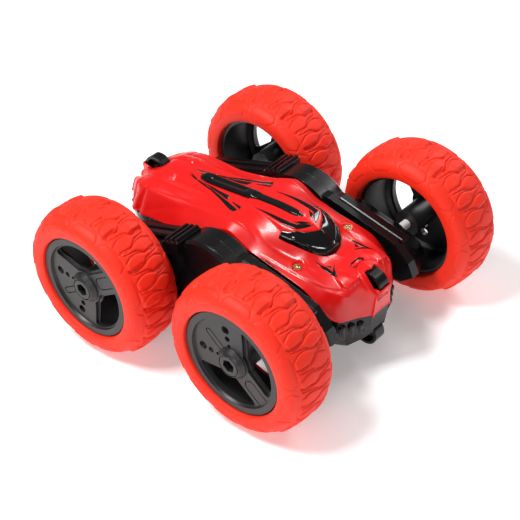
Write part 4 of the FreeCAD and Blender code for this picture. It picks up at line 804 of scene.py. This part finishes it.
def visor_sheet():
    """Windscreen band between two plan lines: domed across, creased at its middle, its outer rim
    rolled down, and a hollow where each leg leaves the screen."""
    inner = list(VISOR_INNER) + [(a, -b) for a, b in VISOR_INNER[-2::-1]]
    outer = list(VISOR_OUTER) + [(a, -b) for a, b in VISOR_OUTER[-2::-1]]
    plan = between(inner, outer, VISOR_ROWS, VISOR_COLUMNS)
    u, v = plan[..., 0], plan[..., 1]
    f = np.broadcast_to(np.linspace(0, 1, VISOR_COLUMNS)[None, :], u.shape)
    t = np.abs(np.linspace(-1, 1, VISOR_ROWS))[:, None]
    inner_h = smooth_height(u[:, :1], v[:, :1]) + 0.75
    outer_h = smooth_height(u[:, -1:], v[:, -1:]) + 0.1
    chord = inner_h + (outer_h - inner_h) * f
    dome = 4 * f * (1 - f)
    lift = VISOR_DOME * dome ** 0.8 * (1 - 0.35 * t)
    roll = VISOR_ROLL * crease(f - 0.86, 0.10)
    middle = VISOR_CREASE * crease(t, 0.06) * dome
    scoop = VISOR_SCOOP * crease(t - 0.72, 0.10) * crease(f - 0.35, 0.28)
    top = np.maximum(chord + lift + roll + middle - scoop, smooth_height(u, v) - 0.2)
    top = np.where((f <= 0) | (f >= 1), chord - 0.15, top)
    return cushion_sheet(u, v, top, np.minimum(chord, smooth_height(u, v)) - 0.9)


# ---- ribs on the arms and the lower nose --------------------------------------------------------
ARM_ROOT = (18.0, 18.0)
ARM_SHOULDER = (56.0, 7.4)
ARM_BEVEL_START = 38.2
# Arm ribs: end, first and last |x|, inner and outer |y|, rise over the arm and depth into it.
ARM_RIBS = (
    ("rear", 21.5, 62.0, 28.0, 31.6, 1.1, 0.6),
    ("rear", 21.5, 62.0, 33.2, 36.8, 1.1, 0.6),
    ("rear", 11.6, 21.6, 27.2, 42.8, 1.4, 0.7),
    ("rear", 12.0, 14.4, 27.4, 42.6, 2.8, 0.3),
    ("rear", 15.2, 17.6, 27.4, 42.6, 2.8, 0.3),
    ("rear", 18.4, 20.8, 27.4, 42.6, 2.8, 0.3),
    ("front", 22.0, 58.0, 30.6, 35.4, 0.9, 0.6),
)
RIB_BEVEL, RIB_END = 0.6, 0.5
NOSE_RIBS = ((58.0, 20.8), (60.9, 17.6), (63.1, 13.9), (65.4, 10.2))
NOSE_RIB_TOP, NOSE_RIB_FOOT = -2.4, -11.5
NOSE_RIB_RADIUS = 1.9
ROD_RINGS, ROD_SIDES = 5, 16


def arm_rib(end, x0, x1, y0, y1, rise, depth, side, up):
    """Bar along the sloping top (or under side) of an arm, chamfered all round."""
    x = np.array([x0, x0 + RIB_END, x1 - RIB_END, x1])
    lift = np.array([0.55, 1.0, 1.0, 0.55]) * rise
    slope = (ARM_SHOULDER[1] - ARM_ROOT[1]) / (ARM_SHOULDER[0] - ARM_ROOT[0])
    top = ARM_ROOT[1] + slope * (x - ARM_ROOT[0])
    across = np.array([y0, y0, y0 + RIB_BEVEL, y1 - RIB_BEVEL, y1, y1])
    foot = top - depth - max(0.0, y1 - ARM_BEVEL_START)
    level = np.stack([top - depth, top + lift * 0.55, top + lift, top + lift, top + lift * 0.55, foot], 1)
    points = np.empty((4, 6, 3))
    points[..., 0] = AXLE[0] + x[:, None] * (1 if end == "front" else -1)
    points[..., 1] = AXLE[1] + across[None, :] * side
    points[..., 2] = AXLE[2] + level * up
    caps = np.array([(0, 1, 4, 5), (1, 2, 3, 4)])
    faces = np.concatenate([cells(4, 6, around_columns=True), caps, caps[:, ::-1] + 18])
    return facing_out(points, faces)


def rounded_rod(start, end, radius):
    """Rod between two points with rounded ends: rings whose radius follows a quarter circle."""
    start, end = np.asarray(start, float), np.asarray(end, float)
    along = (end - start) / np.linalg.norm(end - start)
    side = np.cross(along, (0, 1, 0.01))
    side /= np.linalg.norm(side)
    other = np.cross(along, side)
    bend = np.linspace(0.12, 1, ROD_RINGS) * math.pi / 2
    length = np.linalg.norm(end - start)
    reach = np.concatenate([-np.cos(bend) * radius, length + np.cos(bend[::-1]) * radius])
    wide = np.concatenate([np.sin(bend), np.sin(bend[::-1])]) * radius
    turn = np.linspace(0, 2 * math.pi, ROD_SIDES, endpoint=False)
    ring = np.cos(turn)[:, None] * side + np.sin(turn)[:, None] * other
    points = start + reach[:, None, None] * along + wide[:, None, None] * ring[None]
    k = np.arange(ROD_SIDES // 2 - 1)
    cap = np.stack([k, k + 1, ROD_SIDES - 2 - k, ROD_SIDES - 1 - k], 1)
    sides = cells(2 * ROD_RINGS, ROD_SIDES, around_columns=True)
    faces = np.concatenate([sides, cap[:, ::-1], cap + (2 * ROD_RINGS - 1) * ROD_SIDES])
    return facing_out(points, faces)


# ---- operators ----------------------------------------------------------------------------------
class StuntCarColours(bpy.types.PropertyGroup):
    """Colours and gloss of the car's finishes."""

    shell: FloatVectorProperty(name="Shell red", description="Colour of the upper shell", subtype="COLOR",
                               size=3, min=0, max=1, default=(0.76, 0.004, 0.003))
    shell_roughness: FloatProperty(name="Shell roughness", description="Roughness of the upper shell",
                                   min=0, max=1, default=0.32, subtype="FACTOR")
    tyre: FloatVectorProperty(name="Tyre", description="Colour of the tyre compound", subtype="COLOR",
                              size=3, min=0, max=1, default=(0.88, 0.024, 0.005))
    black: FloatVectorProperty(name="Black parts", description="Colour of arms, lower shell and trim",
                               subtype="COLOR", size=3, min=0, max=1, default=(0.004, 0.004, 0.0045))
    rim: FloatVectorProperty(name="Rims", description="Colour of the rims", subtype="COLOR",
                             size=3, min=0, max=1, default=(0.012, 0.0115, 0.0115))


class StuntCarSizes(bpy.types.PropertyGroup):
    """Fineness of the grids and the thickness of the shell."""

    shell_rows: IntProperty(name="Shell rows", description="Cross-sections along the upper shell",
                            min=60, max=500, default=270)
    shell_columns: IntProperty(name="Shell columns", description="Points across half of the shell",
                               min=20, max=120, default=56)
    shell_wall: FloatProperty(name="Shell wall", description="Thickness of the upper shell in metres",
                              min=0.0005, max=0.003, default=0.0012, subtype="DISTANCE", unit="LENGTH")
    tyre_around: IntProperty(name="Tyre steps round", description="Sections round each tyre",
                             min=96, max=900, default=720)
    tyre_across: IntProperty(name="Tyre steps across", description="Points over half of the tyre's section",
                             min=20, max=120, default=52)


class STUNTCAR_OT_finishes(bpy.types.Operator):
    """Give every CAD part that stays in view its finish"""

    bl_idname = "stuntcar.finishes"
    bl_label = "Finish CAD parts"

    def execute(self, context):
        for name, node in frame["nodes"].items():
            node.data.materials.clear()
            node.data.materials.append(finishes()[SLOT_OF[name]])
        return {"FINISHED"}


class STUNTCAR_OT_shell(bpy.types.Operator):
    """Build the sculpted red upper shell and its roller pockets"""

    bl_idname = "stuntcar.shell"
    bl_label = "Upper shell"

    def execute(self, context):
        sizes = context.scene.stunt_car_sizes
        grid, inner = red_shell_grid(sizes.shell_rows, sizes.shell_columns)
        rows, columns = grid.shape[:2]
        keep = np.ones((rows - 1, columns - 1), bool)
        for node in ("nose_upper_roller", "tail_upper_roller"):
            keep &= ~slot_mask(grid, node, (columns - 1) // 2, inner)
        faces = cells(rows, columns)[keep.ravel()]
        used, numbers = np.unique(faces, return_inverse=True)
        shell_piece("upper_shell_red", to_row(grid).reshape(-1, 3)[used], numbers.reshape(-1, 4), "red_shell",
                    "chassis", sizes.shell_wall / MM, ("upper_shell",))
        roller_well("nose_upper_well", "nose_upper_roller", "red_shell")
        roller_well("tail_upper_well", "tail_upper_roller", "red_shell")
        return {"FINISHED"}


class STUNTCAR_OT_trim(bpy.types.Operator):
    """Lay the gloss black roof strip, the windscreen and the decals on the shell"""

    bl_idname = "stuntcar.trim"
    bl_label = "Roof strip, windscreen, decals"

    def execute(self, context):
        points, faces = canopy_sheet()
        closed_piece("roof_strip", to_row(points), faces, "black_trim", "chassis", ("canopy",))
        points, faces = visor_sheet()
        closed_piece("windscreen", to_row(points), faces, "black_trim", "chassis", ("visor",))
        sheets = [decal_sheet(first, second, side) for first, second in DECALS for side in (1, -1)]
        sheets.append(decal_sheet(*oval_ring(), 1, OVAL_LIFT))
        points, faces = merged([facing_out(*sheet) for sheet in sheets])
        add_piece("decals", to_row(points), faces, "black_trim", "chassis")
        return {"FINISHED"}


class STUNTCAR_OT_ribs(bpy.types.Operator):
    """Add the ribs and ridged blocks of the arms, and the ribs under the nose"""

    bl_idname = "stuntcar.ribs"
    bl_label = "Arm and nose ribs"

    def execute(self, context):
        for side, sign in SIDES.items():
            bars = [arm_rib(*rib, sign, up) for rib in ARM_RIBS for up in (1, -1)]
            points, faces = merged(bars)
            add_piece(f"{side}_arm_ribs", points, faces, "black_arm", f"{side}_arm", (), False)
        rods = [rounded_rod((u, v * sign, NOSE_RIB_TOP), (u - 1.8, (v - 3.4) * sign, NOSE_RIB_FOOT),
                            NOSE_RIB_RADIUS) for u, v in NOSE_RIBS for sign in (1, -1)]
        points, faces = merged(rods)
        add_piece("nose_ribs", to_row(points), faces, "black_shell", "chassis")
        return {"FINISHED"}


class STUNTCAR_OT_tyres(bpy.types.Operator):
    """Build the four treaded tyres"""

    bl_idname = "stuntcar.tyres"
    bl_label = "Tyres"

    def execute(self, context):
        sizes = context.scene.stunt_car_sizes
        for end in ENDS:
            for side in SIDES:
                node = f"{end}_{side}_tyre"
                grid = tyre_grid(node, sizes.tyre_around, sizes.tyre_across)
                faces = cells(*grid.shape[:2], around_rows=True, around_columns=True)
                closed_piece(f"{end}_{side}_tread_tyre", grid, faces, "tyre_rubber",
                             f"{end}_{side}_wheel", (node,))
        return {"FINISHED"}


# ---- stage ---------------------------------------------------------------------------------------
# Camera: angles in degrees, distance and target in metres, lens and sensor in millimetres.
CAMERA = {"azimuth": 44.489, "elevation": 36.48, "roll": -5.716, "distance": 0.650848,
          "lens": 98.13, "sensor": 36.0, "target": (0.007, -0.010326, 0.038)}
WORLD_STRENGTH = 0.2
# Lamps: name, place, size and power, in metres and watts.
LAMPS = (
    ("key", (-0.30, -0.50, 1.25), (0.42, 0.34), 17.0),
    ("fill", (0.35, -1.15, 0.5), (0.4, 0.3), 3.0),
    ("rim_light", (0.1, 1.0, 0.9), (1.0, 0.16), 8.0),
)
LAMP_AIM = (0, 0, 0.03)
FLOOR_REACH = 3.0
FLOOR_GLOW = 0.28


class STUNTCAR_OT_stage(bpy.types.Operator):
    """Set up the pale floor, the studio light and the camera"""

    bl_idname = "stuntcar.stage"
    bl_label = "Stage, light and camera"

    def execute(self, context):
        scene = context.scene
        sheet = Finish("floor_paper")
        pale = sheet.blend(sheet.noise(60.0, 2.0), (0.93, 0.93, 0.93, 1), (0.95, 0.95, 0.95, 1))
        paper = sheet.shade(Base_Color=pale, Roughness=sheet.noise(3.0) * 0.08 + 0.55,
                            Emission_Color=(1.0, 1.0, 1.0, 1.0), Emission_Strength=FLOOR_GLOW)
        corners = np.array([(-1, -1, 0), (1, -1, 0), (1, 1, 0), (-1, 1, 0)]) * FLOOR_REACH
        mesh = bpy.data.meshes.new("floor")
        mesh.from_pydata(corners.tolist(), [], [(0, 1, 2, 3)])
        mesh.materials.append(paper)
        floor = bpy.data.objects.new("floor", mesh)
        floor.location.z = CAD_BOX[0][2]
        scene.collection.objects.link(floor)
        world = bpy.data.worlds.new("studio")
        world.use_nodes = True
        world.node_tree.nodes["Background"].inputs["Color"].default_value = (1.0, 1.0, 1.0, 1.0)
        world.node_tree.nodes["Background"].inputs["Strength"].default_value = WORLD_STRENGTH
        scene.world = world
        scene.view_settings.view_transform = "Standard"
        scene.view_settings.look = "None"
        for name, place, size, power in LAMPS:
            data = bpy.data.lights.new(name, "AREA")
            data.shape, data.size, data.size_y, data.energy = "RECTANGLE", size[0], size[1], power
            lamp = bpy.data.objects.new(name, data)
            lamp.location = place
            aim = Vector(LAMP_AIM) - Vector(place)
            lamp.rotation_euler = aim.to_track_quat("-Z", "Y").to_euler()
            scene.collection.objects.link(lamp)
        data = bpy.data.cameras.new("camera")
        data.sensor_width, data.lens = CAMERA["sensor"], CAMERA["lens"]
        camera = bpy.data.objects.new("camera", data)
        azimuth, elevation, roll = (math.radians(CAMERA[key]) for key in ("azimuth", "elevation", "roll"))
        back = Vector((math.sin(azimuth) * math.cos(elevation), -math.cos(azimuth) * math.cos(elevation),
                       math.sin(elevation)))
        right = (-back).cross(Vector((0, 0, 1))).normalized()
        up = right.cross(-back)
        right_rolled = right * math.cos(roll) + up * math.sin(roll)
        up_rolled = up * math.cos(roll) - right * math.sin(roll)
        turn = Matrix((right_rolled, up_rolled, back)).transposed().to_4x4()
        stand = Vector(CAMERA["target"]) + back * CAMERA["distance"]
        camera.matrix_world = Matrix.Translation(stand) @ turn
        scene.collection.objects.link(camera)
        scene.camera = camera
        return {"FINISHED"}


OPERATORS = (STUNTCAR_OT_finishes, STUNTCAR_OT_shell, STUNTCAR_OT_trim, STUNTCAR_OT_ribs,
             STUNTCAR_OT_tyres, STUNTCAR_OT_stage)


class STUNTCAR_PT_panel(bpy.types.Panel):
    """Sizes, colours and build buttons of the stunt car"""

    bl_label = "Stunt Car"
    bl_idname = "STUNTCAR_PT_panel"
    bl_space_type = "VIEW_3D"
    bl_region_type = "UI"
    bl_category = "Stunt Car"

    def draw(self, context):
        for group in (context.scene.stunt_car_colours, context.scene.stunt_car_sizes):
            for key in group.__annotations__:
                self.layout.prop(group, key)
        for operator in OPERATORS:
            self.layout.operator(operator.bl_idname)


CLASSES = (StuntCarColours, StuntCarSizes) + OPERATORS + (STUNTCAR_PT_panel,)


def register():
    """Adds the classes and the two property groups."""
    for cls in CLASSES:
        bpy.utils.register_class(cls)
    bpy.types.Scene.stunt_car_colours = PointerProperty(type=StuntCarColours)
    bpy.types.Scene.stunt_car_sizes = PointerProperty(type=StuntCarSizes)


def unregister():
    """Takes them away again."""
    del bpy.types.Scene.stunt_car_sizes
    del bpy.types.Scene.stunt_car_colours
    for cls in reversed(CLASSES):
        bpy.utils.unregister_class(cls)


def main():
    """Registers the add-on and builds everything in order."""
    register()
    for operator in OPERATORS:
        group, name = operator.bl_idname.split(".")
        getattr(getattr(bpy.ops, group), name)()


if __name__ == "__main__":
    main()
